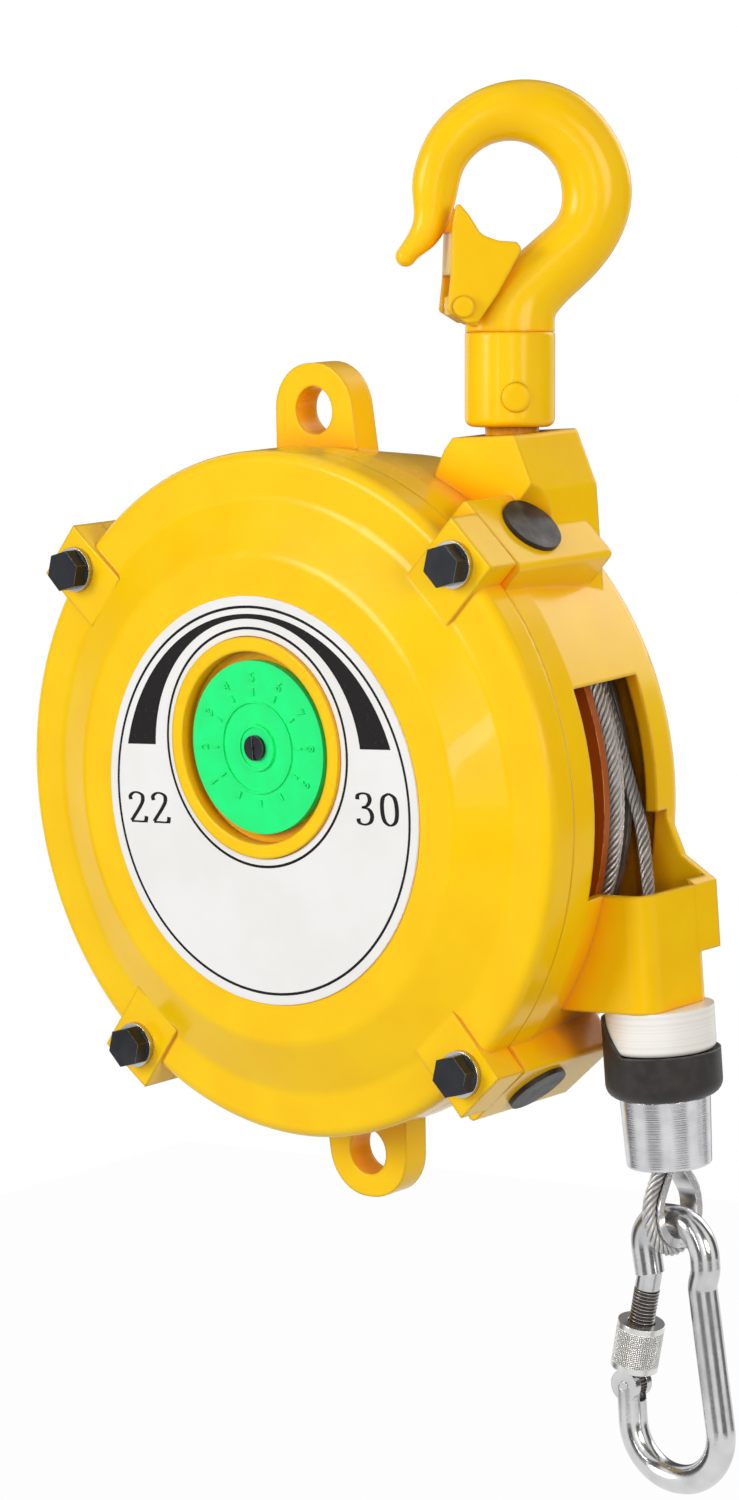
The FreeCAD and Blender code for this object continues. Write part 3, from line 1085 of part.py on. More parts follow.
# ---------------------------------------------------------------- check and write
doc.recompute()
failed = [o.Name for o in doc.Objects if "Invalid" in o.State or "Error" in o.State]
for made in pieces:
    if made.Shape.isNull() or not made.Shape.isValid() or not made.Shape.Solids:
        failed.append(made.Label)
if failed:
    raise RuntimeError("these did not build: " + ", ".join(failed))
os.makedirs("parts", exist_ok=True)
for made in pieces:
    made.Shape.exportStep("parts/%s.step" % made.Label)
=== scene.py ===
import math

import bmesh
import bpy
from mathutils import Matrix, Vector


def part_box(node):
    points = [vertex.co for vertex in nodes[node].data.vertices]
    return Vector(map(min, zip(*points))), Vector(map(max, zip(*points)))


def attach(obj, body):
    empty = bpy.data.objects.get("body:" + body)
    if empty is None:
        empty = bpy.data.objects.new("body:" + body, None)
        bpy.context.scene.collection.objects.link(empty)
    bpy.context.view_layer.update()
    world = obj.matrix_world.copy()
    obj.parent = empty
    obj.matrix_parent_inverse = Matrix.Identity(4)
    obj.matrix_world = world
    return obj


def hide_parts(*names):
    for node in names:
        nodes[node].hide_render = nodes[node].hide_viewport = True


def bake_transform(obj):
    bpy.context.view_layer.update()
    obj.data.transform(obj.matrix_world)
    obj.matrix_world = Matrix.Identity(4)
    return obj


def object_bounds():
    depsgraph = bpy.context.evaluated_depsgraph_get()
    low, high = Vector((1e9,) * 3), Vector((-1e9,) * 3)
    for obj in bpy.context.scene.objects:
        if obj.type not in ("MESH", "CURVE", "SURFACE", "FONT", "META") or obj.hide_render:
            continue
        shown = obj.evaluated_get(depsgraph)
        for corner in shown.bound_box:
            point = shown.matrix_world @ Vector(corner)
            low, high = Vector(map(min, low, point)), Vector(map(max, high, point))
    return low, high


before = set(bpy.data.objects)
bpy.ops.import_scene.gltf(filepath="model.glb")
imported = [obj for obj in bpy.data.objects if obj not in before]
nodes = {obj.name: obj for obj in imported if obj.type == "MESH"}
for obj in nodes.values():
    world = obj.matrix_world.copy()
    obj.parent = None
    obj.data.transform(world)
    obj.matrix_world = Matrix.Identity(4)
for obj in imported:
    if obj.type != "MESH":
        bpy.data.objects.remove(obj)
cad_low, cad_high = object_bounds()

# ---------------------------------------------------------------- camera, floor and light
# A camera a little above the middle of the hanging balancer, a pale floor below the reach of its
# rope, and soft lamps. The surround shows pale to the camera and lights gently, and shiny metal
# sees dark upright screens in it.
turn, rise, roll = math.radians(41.16), math.radians(6.40), math.radians(-4.12)
back = Vector((math.sin(turn) * math.cos(rise), -math.cos(turn) * math.cos(rise), math.sin(rise)))
level = Vector((math.cos(turn), math.sin(turn), 0))
upright = back.cross(level)
side = level * math.cos(roll) + upright * math.sin(roll)
over = upright * math.cos(roll) - level * math.sin(roll)
viewer_place = Vector((0.8930, -1.1161, -0.0431))
camera = bpy.data.cameras.new("camera")
camera.lens, camera.sensor_width = 100.4, 36
camera.clip_start, camera.clip_end = 0.05, 20
viewer = bpy.data.objects.new("camera", camera)
viewer.matrix_world = Matrix((
    (side.x, over.x, back.x, viewer_place.x), (side.y, over.y, back.y, viewer_place.y),
    (side.z, over.z, back.z, viewer_place.z), (0, 0, 0, 1)))
bpy.context.scene.collection.objects.link(viewer)
bpy.context.scene.camera = viewer


def pale_when_seen(tree, shade, lit_colour, lit_strength, seen_strength=1.0):
    """A surround that is white to the camera and in reflections, and a soft light elsewhere."""
    nodes_, links = tree.nodes, tree.links
    path = nodes_.new("ShaderNodeLightPath")
    seen = nodes_.new("ShaderNodeMath")
    seen.operation = "MAXIMUM"
    seen_too = nodes_.new("ShaderNodeMath")
    seen_too.operation = "MAXIMUM"
    links.new(path.outputs["Is Camera Ray"], seen.inputs[0])
    links.new(path.outputs["Is Glossy Ray"], seen.inputs[1])
    links.new(seen.outputs[0], seen_too.inputs[0])
    links.new(path.outputs["Is Transmission Ray"], seen_too.inputs[1])
    strength = nodes_.new("ShaderNodeMapRange")
    strength.inputs["To Min"].default_value = lit_strength
    strength.inputs["To Max"].default_value = seen_strength
    links.new(seen_too.outputs[0], strength.inputs["Value"])
    links.new(strength.outputs[0], shade.inputs["Strength"])
    shade.inputs["Color"].default_value = lit_colour
    return path.outputs["Is Glossy Ray"]


world = bpy.data.worlds.new("surround")
world.use_nodes = True
bpy.context.scene.world = world
sky = world.node_tree
mirrored = pale_when_seen(sky, sky.nodes["Background"], (1, 1, 1, 1), 0.40)
heading = sky.nodes.new("ShaderNodeSeparateXYZ")
sky.links.new(sky.nodes.new("ShaderNodeTexCoord").outputs["Generated"], heading.inputs[0])
compass, waves, screens = (sky.nodes.new("ShaderNodeMath") for _ in range(3))
compass.operation, waves.operation, screens.operation = "ARCTAN2", "SINE", "MULTIPLY"
screen_count = 5
screens.inputs[1].default_value = screen_count
sky.links.new(heading.outputs["Y"], compass.inputs[0])
sky.links.new(heading.outputs["X"], compass.inputs[1])
sky.links.new(compass.outputs[0], screens.inputs[0])
sky.links.new(screens.outputs[0], waves.inputs[0])
screen_shade = sky.nodes.new("ShaderNodeMapRange")
screen_shade.interpolation_type = "SMOOTHSTEP"
for name, value in (("From Min", -0.5), ("From Max", 0.6), ("To Min", 0.10), ("To Max", 1.0)):
    screen_shade.inputs[name].default_value = value
sky.links.new(waves.outputs[0], screen_shade.inputs["Value"])
tinted = sky.nodes.new("ShaderNodeMix")
tinted.data_type = "RGBA"
sky.links.new(mirrored, tinted.inputs[0])
tinted.inputs[6].default_value = (1, 1, 1, 1)
sky.links.new(screen_shade.outputs[0], tinted.inputs[7])
sky.links.new(tinted.outputs[2], sky.nodes["Background"].inputs["Color"])
bpy.context.scene.view_settings.view_transform = "Standard"

floor_mesh = bpy.data.meshes.new("floor")
floor_drop, floor_half = 1.6, 6
floor_z = cad_low.z - floor_drop
floor_mesh.from_pydata([(-floor_half, -floor_half, floor_z), (floor_half, -floor_half, floor_z),
                        (floor_half, floor_half, floor_z), (-floor_half, floor_half, floor_z)],
                       [], [(0, 1, 2, 3)])
floor = bpy.data.objects.new("floor", floor_mesh)
bpy.context.scene.collection.objects.link(floor)
floor_paint = bpy.data.materials.new("floor_paint")
floor_paint.use_nodes = True
floor_mesh.materials.append(floor_paint)
floor_tree = floor_paint.node_tree
floor_shade = floor_tree.nodes["Principled BSDF"]
floor_shade.inputs["Base Color"].default_value = (0.86, 0.86, 0.86, 1)
floor_shade.inputs["Roughness"].default_value = 0.8
glow = floor_tree.nodes.new("ShaderNodeEmission")
pale_when_seen(floor_tree, glow, (1, 1, 1, 1), 0.4, 1.03)
blend_in = floor_tree.nodes.new("ShaderNodeMixShader")
blend_in.inputs[0].default_value = 0.93
floor_tree.links.new(floor_shade.outputs[0], blend_in.inputs[1])
floor_tree.links.new(glow.outputs[0], blend_in.inputs[2])
floor_tree.links.new(blend_in.outputs[0], floor_tree.nodes["Material Output"].inputs["Surface"])


def lamp(name, place, aim, size, power, colour=(1, 1, 1), tall=None):
    """A round soft lamp, or an upright strip where its height is given."""
    light = bpy.data.lights.new(name, "AREA")
    light.color = colour
    light.shape, light.size, light.energy = "DISK" if tall is None else "RECTANGLE", size, power
    if tall is not None:
        light.size_y = tall
    stand = bpy.data.objects.new(name, light)
    stand.location = place
    stand.rotation_euler = (Vector(aim) - Vector(place)).to_track_quat("-Z", "Y").to_euler()
    bpy.context.scene.collection.objects.link(stand)


middle = (cad_low + cad_high) / 2
lamp("key", (-0.9, -2.0, 0.5), middle, 1.0, 25)
lamp("fill", (2.2, -0.6, 0.2), middle, 0.9, 18, (1.0, 0.88, 0.74))
lamp("rear", (0.3, 2.2, 0.8), middle, 1.6, 15)
lamp("strip left", (0.25, -1.9, 0.1), middle, 0.03, 3.0, tall=1.1)
lamp("strip right", (1.25, -1.35, 0.1), middle, 0.03, 3.0, tall=1.1)

# ---------------------------------------------------------------- cast and forged enamelled steelwork
# The case, covers and hook are castings and forgings under thick glossy yellow enamel, a little
# uneven as sprayed, worn thin on the sharp edges and with a film of workshop dust on top. Creases and
# hollows have shade painted into their colour.


def group(name, takes, gives):
    """An empty node group with named inputs (name, kind, value) and outputs (name, kind)."""
    tree = bpy.data.node_groups.new(name, "ShaderNodeTree")
    for label, kind, value in takes:
        socket = tree.interface.new_socket(label, in_out="INPUT", socket_type=kind)
        socket.default_value = value
    for label, kind in gives:
        tree.interface.new_socket(label, in_out="OUTPUT", socket_type=kind)
    return tree, tree.nodes.new("NodeGroupInput"), tree.nodes.new("NodeGroupOutput")


def add(tree, kind, values=None, **settings):
    """A node with its settings and its inputs: a socket is linked, anything else is a value."""
    node = tree.nodes.new(kind)
    for name, value in settings.items():
        setattr(node, name, value)
    for name, value in (values or {}).items():
        if isinstance(value, bpy.types.NodeSocket):
            tree.links.new(value, node.inputs[name])
        else:
            node.inputs[name].default_value = value
    return node


def maths(tree, operation, *values):
    node = tree.nodes.new("ShaderNodeMath")
    node.operation = operation
    for i, value in enumerate(values):
        if isinstance(value, bpy.types.NodeSocket):
            tree.links.new(value, node.inputs[i])
        else:
            node.inputs[i].default_value = value
    return node.outputs[0]


def fade(tree, value, low, high, out_low=0.0, out_high=1.0):
    return add(tree, "ShaderNodeMapRange", {
        "Value": value, "From Min": low, "From Max": high, "To Min": out_low,
        "To Max": out_high}, interpolation_type="SMOOTHSTEP").outputs[0]


def mixed(tree, share, first, second):
    node = add(tree, "ShaderNodeMix", data_type="RGBA")
    for socket, value in ((node.inputs[0], share), (node.inputs[6], first), (node.inputs[7], second)):
        if isinstance(value, bpy.types.NodeSocket):
            tree.links.new(value, socket)
        else:
            socket.default_value = value
    return node.outputs[2]


NUMBER, VECTOR = "NodeSocketFloat", "NodeSocketVector"

wear_group, taken, given = group(
    "edge wear", [("Width", NUMBER, 0.0008), ("Patchiness", NUMBER, 180.0), ("Amount", NUMBER, 0.5)],
    [("Mask", NUMBER), ("Rounded", VECTOR)])
place = add(wear_group, "ShaderNodeTexCoord").outputs["Object"]
softened = add(wear_group, "ShaderNodeBevel", {"Radius": taken.outputs["Width"]}, samples=6)
true_face = add(wear_group, "ShaderNodeNewGeometry").outputs["Normal"]
turned_away = add(wear_group, "ShaderNodeVectorMath",
                  {0: softened.outputs[0], 1: true_face}, operation="DOT_PRODUCT").outputs["Value"]
patches = add(wear_group, "ShaderNodeTexNoise", {"Vector": place, "Scale": taken.outputs["Patchiness"],
                                                 "Detail": 4.0}).outputs["Fac"]
edge = fade(wear_group, turned_away, 0.995, 0.86)
chipped = fade(wear_group, patches, 0.62, 0.48, 0.0, 1.0)
mask = maths(wear_group, "MULTIPLY", maths(wear_group, "MULTIPLY", edge, chipped),
             taken.outputs["Amount"])
wear_group.links.new(mask, given.inputs["Mask"])
wear_group.links.new(softened.outputs[0], given.inputs["Rounded"])

dust_group, taken, given = group(
    "dust", [("Amount", NUMBER, 0.3), ("Grain", NUMBER, 60.0)], [("Mask", NUMBER)])
place = add(dust_group, "ShaderNodeTexCoord").outputs["Object"]
facing = add(dust_group, "ShaderNodeNewGeometry").outputs["Normal"]
lifted = add(dust_group, "ShaderNodeSeparateXYZ", {0: facing}).outputs["Z"]
clouds = add(dust_group, "ShaderNodeTexNoise", {"Vector": place, "Scale": taken.outputs["Grain"],
                                                "Detail": 5.0}).outputs["Fac"]
settled = maths(dust_group, "MULTIPLY", fade(dust_group, lifted, 0.1, 0.95),
                fade(dust_group, clouds, 0.35, 0.75))
dust_group.links.new(maths(dust_group, "MULTIPLY", settled, taken.outputs["Amount"]),
                     given.inputs["Mask"])

grain_group, taken, given = group(
    "surface grain", [("Coarse", NUMBER, 70.0), ("Fine", NUMBER, 900.0), ("Fine share", NUMBER, 0.3)],
    [("Height", NUMBER), ("Mottle", NUMBER)])
place = add(grain_group, "ShaderNodeTexCoord").outputs["Object"]
waves = add(grain_group, "ShaderNodeTexNoise", {"Vector": place, "Scale": taken.outputs["Coarse"],
                                                "Detail": 3.0}).outputs["Fac"]
specks = add(grain_group, "ShaderNodeTexNoise", {"Vector": place, "Scale": taken.outputs["Fine"],
                                                 "Detail": 2.0}).outputs["Fac"]
height = maths(grain_group, "MULTIPLY_ADD", specks, taken.outputs["Fine share"], waves)
grain_group.links.new(height, given.inputs["Height"])
grain_group.links.new(waves, given.inputs["Mottle"])


def placed(tree, which, **values):
    node = tree.nodes.new("ShaderNodeGroup")
    node.node_tree = which
    for name, value in values.items():
        node.inputs[name.replace("_", " ")].default_value = value
    return node


def finish_of(name, colour, roughness, metallic=0.0, coat=0.0, coat_roughness=0.1, specular=0.5):
    """A material with its constants set on the shader itself."""
    made = bpy.data.materials.new(name)
    made.use_nodes = True
    shade = made.node_tree.nodes["Principled BSDF"]
    shade.inputs["Base Color"].default_value = (*colour, 1)
    shade.inputs["Roughness"].default_value = roughness
    shade.inputs["Metallic"].default_value = metallic
    shade.inputs["Coat Weight"].default_value = coat
    shade.inputs["Coat Roughness"].default_value = coat_roughness
    shade.inputs["Specular IOR Level"].default_value = specular
    return made, made.node_tree, shade


def relief(tree, shade, height, strength, distance, normal=None):
    bump = add(tree, "ShaderNodeBump", {"Height": height, "Strength": strength, "Distance": distance})
    if normal is not None:
        tree.links.new(normal, bump.inputs["Normal"])
    tree.links.new(bump.outputs[0], shade.inputs["Normal"])


def enamel(name, colour, deep, hollow_shade):
    """Glossy sprayed enamel over a cast body, bare where it is knocked, with painted shade: deep orange
    in creases and dark brown in enclosed hollows.
    """
    made, tree, shade = finish_of(name, colour, 0.3, coat=0.05, coat_roughness=0.02, specular=0.16)
    grain = placed(tree, grain_group, Coarse=48, Fine=620, Fine_share=0.10)
    wear = placed(tree, wear_group, Width=0.0018, Patchiness=140, Amount=0.16)
    dust = placed(tree, dust_group, Amount=0.12, Grain=45)
    # Ambient occlusion paints shade into the colour: deep orange in creases stands in for shadow and
    # coloured bounce light, and dark brown fills enclosed hollows.
    occlusion_for_shade = add(tree, "ShaderNodeAmbientOcclusion", {"Distance": 0.024}, samples=8).outputs["AO"]
    cloudy = mottled(tree, grain, colour, deep)
    painted_crease_shade = mixed(tree, fade(tree, occlusion_for_shade, 0.78, 0.35), cloudy, (0.93, 0.36, 0.002, 1))
    painted_hollow_shade = mixed(tree, fade(tree, occlusion_for_shade, 0.26, 0.06), painted_crease_shade, (*hollow_shade, 1))
    knocked = mixed(tree, wear.outputs["Mask"], painted_hollow_shade, (0.62, 0.45, 0.16, 1))
    dusted = mixed(tree, dust.outputs["Mask"], knocked, (0.70, 0.58, 0.36, 1))
    tree.links.new(dusted, shade.inputs["Base Color"])
    rough = maths(tree, "MULTIPLY_ADD", dust.outputs["Mask"], 0.9, 0.2)
    tree.links.new(rough, shade.inputs["Roughness"])
    relief(tree, shade, grain.outputs["Height"], 0.22, 0.0006, wear.outputs["Rounded"])
    return made


def place_along(tree, axis):
    """One coordinate of a place in the object's own space."""
    here = add(tree, "ShaderNodeTexCoord").outputs["Object"]
    return add(tree, "ShaderNodeSeparateXYZ", {0: here}).outputs[axis]


def mottled(tree, grain, first, second, low=0.3, high=0.7):
    """Two shades that drift into each other with the surface grain."""
    return mixed(tree, fade(tree, grain.outputs["Mottle"], low, high), (*first, 1), (*second, 1))


def coloured(tree, shade, share, first, second):
    tree.links.new(mixed(tree, share, first, second), shade.inputs["Base Color"])


def dress(material, *names):
    for name in names:
        slots = nodes[name].data.materials
        slots.clear()
        slots.append(material)


# The last colour is the dark brown painted into hollows as shade.
yellow = enamel("yellow enamel", (0.99, 0.62, 0.003), (0.98, 0.58, 0.002), (0.11, 0.024, 0.003))
dress(yellow, "front_cover", "case_shell", "rear_cover", "hook_socket", "hook_forging",
      "socket_pin", "swivel_stem", "latch_plate", "latch_rivet")

# ---------------------------------------------------------------- printed scale plate
# A smooth white sheet on the cover with two printed rings, a black crescent over the top and the
# ends of the load range in plain numerals. The print is a thin film that stands just proud.
plate_low, plate_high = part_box("scale_plate")
plate_x, plate_z = (plate_low.x + plate_high.x) / 2, (plate_low.z + plate_high.z) / 2
film_front, film_back = plate_low.y - 0.00005, plate_low.y + 0.00005
ring_line, rim_ring_radius, hole_ring_radius, hole_above = 0.00095, 0.0673, 0.0414, 0.0186
crescent_outer, crescent_outer_above = 0.0635, 0.0014
crescent_inner, crescent_inner_above, crescent_foot = 0.0476, 0.0156, 0.019
numeral_tall, numeral_wide, numeral_step = 0.0112, 0.0148, 0.0110
left_numerals, right_numerals = ("22", -0.0632, -0.0092), ("30", 0.0432, -0.0068)

plate_sheet, tree, shade = finish_of("plate sheet", (0.86, 0.86, 0.85), 0.32, specular=0.35)
grain = placed(tree, grain_group, Coarse=38, Fine=1500, Fine_share=0.25)
wear = placed(tree, wear_group, Width=0.0004, Patchiness=220, Amount=0.5)
dust = placed(tree, dust_group, Amount=0.2, Grain=80)
clean = mottled(tree, grain, (0.87, 0.87, 0.86), (0.83, 0.83, 0.81), 0.35)
edged = mixed(tree, wear.outputs["Mask"], clean, (0.55, 0.55, 0.54, 1))
coloured(tree, shade, dust.outputs["Mask"], edged, (0.7, 0.67, 0.6, 1))
relief(tree, shade, grain.outputs["Height"], 0.08, 0.0002, wear.outputs["Rounded"])
dress(plate_sheet, "scale_plate")

ink, tree, shade = finish_of("printing ink", (0.012, 0.010, 0.011), 0.5, specular=0.12)
grain = placed(tree, grain_group, Coarse=600, Fine=2600, Fine_share=0.5)
thin = fade(tree, grain.outputs["Height"], 0.88, 1.02)
coloured(tree, shade, thin, (0.012, 0.010, 0.011, 1), (0.032, 0.029, 0.030, 1))
relief(tree, shade, grain.outputs["Height"], 0.1, 0.00005)


def arc(centre, radius, start, stop, count):
    """Points (x, z) along an arc, from one angle to another in degrees."""
    return [(centre[0] + radius * math.cos(math.radians(start + (stop - start) * i / count)),
             centre[1] + radius * math.sin(math.radians(start + (stop - start) * i / count)))
            for i in range(count + 1)]


def band(mesh, outer, inner, front, back, closed=False):
    """Adds a thin slab between two lines of (x, z) points, open-ended or closed on itself."""
    if closed:
        outer, inner = outer[:-1], inner[:-1]
    rows = [[mesh.verts.new((p[0], y, p[1])) for p in line]
            for line, y in ((outer, front), (inner, front), (inner, back), (outer, back))]
    count = len(outer)
    for i in range(count if closed else count - 1):
        j = (i + 1) % count
        for k in range(4):
            mesh.faces.new((rows[k][i], rows[k][j], rows[(k + 1) % 4][j], rows[(k + 1) % 4][i]))
    if not closed:
        mesh.faces.new([row[0] for row in rows])
        mesh.faces.new([row[-1] for row in rows])


def ring_band(mesh, centre, radius, wide, count, front, back):
    """Adds a closed flat ring of a given width."""
    band(mesh, arc(centre, radius + wide / 2, 0, 360, count),
         arc(centre, radius - wide / 2, 0, 360, count), front, back, True)


def piece(name, mesh, material, body, smooth=False):
    """Finishes a mesh with its normals outward, as an object that rides on a body."""
    bmesh.ops.recalc_face_normals(mesh, faces=mesh.faces[:])
    data = bpy.data.meshes.new(name)
    mesh.to_mesh(data)
    mesh.free()
    for face in data.polygons:
        face.use_smooth = smooth
    data.materials.append(material)
    made = bpy.data.objects.new(name, data)
    bpy.context.scene.collection.objects.link(made)
    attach(made, body)
    return made


def smooth_line(points, steps=10):
    """A Catmull-Rom line through (x, z) points."""
    ends = [points[0]] + list(points) + [points[-1]]
    line = []
    for i in range(1, len(ends) - 2):
        a, b, c, e = (Vector(p) for p in ends[i - 1:i + 3])
        for j in range(steps):
            u = j / steps
            line.append((2 * b + (c - a) * u + (2 * a - 5 * b + 4 * c - e) * u ** 2
                         + (3 * b - 3 * c + e - a) * u ** 3) / 2)
    return line + [Vector(points[-1])]


def stroke(mesh, line, scale, offset, broad=0.060, narrow=0.030, nib=0):
    """A pen stroke of a broad nib along a line in numeral units, laid on the plate."""
    along_nib = Vector((math.cos(math.radians(nib)), math.sin(math.radians(nib))))
    across_nib = Vector((-along_nib.y, along_nib.x))
    outer, inner = [], []
    for i, point in enumerate(line):
        heading = (line[min(i + 1, len(line) - 1)] - line[max(i - 1, 0)]).normalized()
        beside = Vector((-heading.y, heading.x))
        half = math.hypot(broad * beside.dot(along_nib), narrow * beside.dot(across_nib))
        for side_line, sign in ((outer, 1), (inner, -1)):
            spot = point + beside * half * sign
            side_line.append((offset[0] + spot.x * scale[0], offset[1] + spot.y * scale[1]))
    band(mesh, outer, inner, film_front, film_back)


numeral_strokes = {
    "2": [[(0.10, 0.74), (0.09, 0.86), (0.20, 0.96), (0.34, 0.97), (0.48, 0.88), (0.48, 0.70),
           (0.36, 0.48), (0.20, 0.25), (0.07, 0.07)],
          [(0.07, 0.045), (0.22, 0.05), (0.40, 0.045), (0.53, 0.05)],
          [(0.53, 0.03), (0.555, 0.12), (0.57, 0.22)]],
    "3": [[(0.10, 0.78), (0.12, 0.91), (0.26, 0.97), (0.42, 0.93), (0.47, 0.77), (0.38, 0.60),
           (0.22, 0.54)],
          [(0.22, 0.54), (0.42, 0.49), (0.51, 0.30), (0.45, 0.10), (0.28, 0.02), (0.12, 0.07),
           (0.09, 0.20)]],
    "0": [[(0.30, 0.98), (0.13, 0.85), (0.08, 0.50), (0.13, 0.15), (0.30, 0.02), (0.47, 0.15),
           (0.52, 0.50), (0.47, 0.85), (0.30, 0.98)]]}
print_mesh = bmesh.new()
for radius, above in ((rim_ring_radius, 0), (hole_ring_radius, hole_above)):
    ring_band(print_mesh, (plate_x, plate_z + above), radius, ring_line, 160, film_front, film_back)
outer_foot = math.degrees(math.asin((crescent_foot - crescent_outer_above) / crescent_outer))
inner_foot = math.degrees(math.asin((crescent_foot - crescent_inner_above) / crescent_inner))
band(print_mesh,
     arc((plate_x, plate_z + crescent_outer_above), crescent_outer, 180 - outer_foot, outer_foot, 96),
     arc((plate_x, plate_z + crescent_inner_above), crescent_inner, 180 - inner_foot, inner_foot, 96),
     film_front, film_back)
for numerals, left, low in (left_numerals, right_numerals):
    for i, numeral in enumerate(numerals):
        for line in numeral_strokes[numeral]:
            stroke(print_mesh, smooth_line(line), (numeral_wide, numeral_tall),
                   (plate_x + left + i * numeral_step, plate_z + low))
piece("plate_print", print_mesh, ink, "case")

# ---------------------------------------------------------------- load dial
# A moulded green dial with a raised lip round its slotted screw, a faint hub ring, raised ticks
# and small plain digits round the rim.
dial_low, dial_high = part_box("dial_disc")
dial_x, dial_z, dial_face = (dial_low.x + dial_high.x) / 2, (dial_low.z + dial_high.z) / 2, dial_low.y
lip_radius, lip_wide, lip_proud = 0.0076, 0.0011, 0.0005
hub_radius, hub_wide, relief_proud = 0.0158, 0.0006, 0.00006
relief_root = 0.0003
tick_count, tick_radius, tick_long, tick_wide = 12, 0.0193, 0.0026, 0.0007
digit_count, digit_radius, digit_tall, first_digit_turn, digit_turn = 9, 0.0243, 0.0048, 120, 30

dial_green, tree, shade = finish_of("dial green", (0.012, 0.93, 0.23), 0.4, specular=0.22)
grain = placed(tree, grain_group, Coarse=120, Fine=2200, Fine_share=0.6)
wear = placed(tree, wear_group, Width=0.00025, Patchiness=400, Amount=0.35)
base = mottled(tree, grain, (0.010, 0.94, 0.235), (0.014, 0.88, 0.21))
coloured(tree, shade, wear.outputs["Mask"], base, (0.10, 0.97, 0.42, 1))
relief(tree, shade, grain.outputs["Height"], 0.12, 0.00012, wear.outputs["Rounded"])
dress(dial_green, "dial_disc")

dial_mesh = bmesh.new()
for radius, wide, proud in ((lip_radius, lip_wide, lip_proud), (hub_radius, hub_wide, relief_proud)):
    ring_band(dial_mesh, (dial_x, dial_z), radius, wide, 72, dial_face - proud, dial_face + relief_root)
piece("dial_rings", dial_mesh, dial_green, "load_dial")

COUNT, MATERIAL = "NodeSocketInt", "NodeSocketMaterial"


def grower(name, takes):
    """An empty geometry group that takes a mesh or a curve and the named inputs."""
    made = bpy.data.node_groups.new(name, "GeometryNodeTree")
    made.interface.new_socket("Geometry", in_out="INPUT", socket_type="NodeSocketGeometry")
    for label, kind in takes:
        made.interface.new_socket(label, in_out="INPUT", socket_type=kind)
    made.interface.new_socket("Geometry", in_out="OUTPUT", socket_type="NodeSocketGeometry")
    return made, made.nodes.new("NodeGroupInput")


def realised(tree, geometry, material):
    """Ends a geometry group with its copies made real and its material set."""
    real = add(tree, "GeometryNodeRealizeInstances", {"Geometry": geometry})
    painted = add(tree, "GeometryNodeSetMaterial", {"Geometry": real.outputs[0], "Material": material})
    tree.links.new(painted.outputs[0], tree.nodes.new("NodeGroupOutput").inputs[0])


marks_group, taken = grower("ring of marks", (("Count", COUNT), ("Radius", NUMBER),
                                              ("Material", MATERIAL)))
tree = marks_group
circle = add(tree, "GeometryNodeMeshCircle", {"Vertices": taken.outputs["Count"],
                                              "Radius": taken.outputs["Radius"]})
index = add(tree, "GeometryNodeInputIndex").outputs[0]
angle = maths(tree, "DIVIDE", maths(tree, "MULTIPLY", index, -math.tau), taken.outputs["Count"])
spin = add(tree, "ShaderNodeCombineXYZ", {"Y": angle}).outputs[0]
leftward = maths(tree, "MULTIPLY", taken.outputs["Radius"], -1.0)
spot = add(tree, "ShaderNodeCombineXYZ", {
    "X": maths(tree, "MULTIPLY", maths(tree, "SINE", angle), leftward),
    "Z": maths(tree, "MULTIPLY", maths(tree, "COSINE", angle), taken.outputs["Radius"])}).outputs[0]
seated = add(tree, "GeometryNodeSetPosition", {"Geometry": circle.outputs[0], "Position": spot})
facing_out = add(tree, "ShaderNodeVectorMath", {0: spin, 1: (1, -1, 1)}, operation="MULTIPLY")
copies = add(tree, "GeometryNodeInstanceOnPoints", {
    "Points": seated.outputs[0], "Instance": taken.outputs["Geometry"],
    "Rotation": facing_out.outputs[0]})
realised(tree, copies.outputs[0], taken.outputs["Material"])


def grown(name, data, which, inputs):
    """The mesh that a node group makes from a mesh or curve, its inputs given by name."""
    seed = bpy.data.objects.new(name, data)
    bpy.context.scene.collection.objects.link(seed)
    modifier = seed.modifiers.new(name, "NODES")
    modifier.node_group = which
    for item in which.interface.items_tree:
        if item.in_out == "INPUT" and item.name in inputs:
            modifier[item.identifier] = inputs[item.name]
    mesh = bpy.data.meshes.new_from_object(
        seed.evaluated_get(bpy.context.evaluated_depsgraph_get()))
    bpy.data.objects.remove(seed)
    return mesh


tick = bmesh.new()
band(tick, [(-tick_wide / 2, -tick_long / 2), (-tick_wide / 2, tick_long / 2)],
     [(tick_wide / 2, -tick_long / 2), (tick_wide / 2, tick_long / 2)], -relief_proud, relief_root)
tick_data = bpy.data.meshes.new("tick")
tick.to_mesh(tick_data)
tick.free()
dial_marks = bmesh.new()
dial_marks.from_mesh(grown("ticks", tick_data, marks_group,
                           {"Count": tick_count, "Radius": tick_radius, "Material": dial_green}))
for i in range(digit_count):
    face = bpy.data.curves.new("digit", "FONT")
    face.body, face.size, face.extrude = str(i + 1), digit_tall, (relief_proud + relief_root) / 2
    face.align_x, face.align_y, face.resolution_u = "CENTER", "CENTER", 3
    holder = bpy.data.objects.new("digit", face)
    bpy.context.scene.collection.objects.link(holder)
    bpy.context.view_layer.update()
    digit = bpy.data.meshes.new_from_object(holder.evaluated_get(bpy.context.evaluated_depsgraph_get()))
    bpy.data.objects.remove(holder)
    turned = math.radians(first_digit_turn - digit_turn * i)
    digit.transform(Matrix.Rotation(turned, 4, "Y").inverted()
                    @ Matrix.Translation((0, (relief_root - relief_proud) / 2, digit_radius))
                    @ Matrix.Rotation(math.radians(90), 4, "X"))
    dial_marks.from_mesh(digit)
bmesh.ops.translate(dial_marks, verts=dial_marks.verts[:], vec=(dial_x, dial_face, dial_z))
bmesh.ops.remove_doubles(dial_marks, verts=dial_marks.verts[:], dist=0.000002)
piece("dial_marks", dial_marks, dial_green, "load_dial")

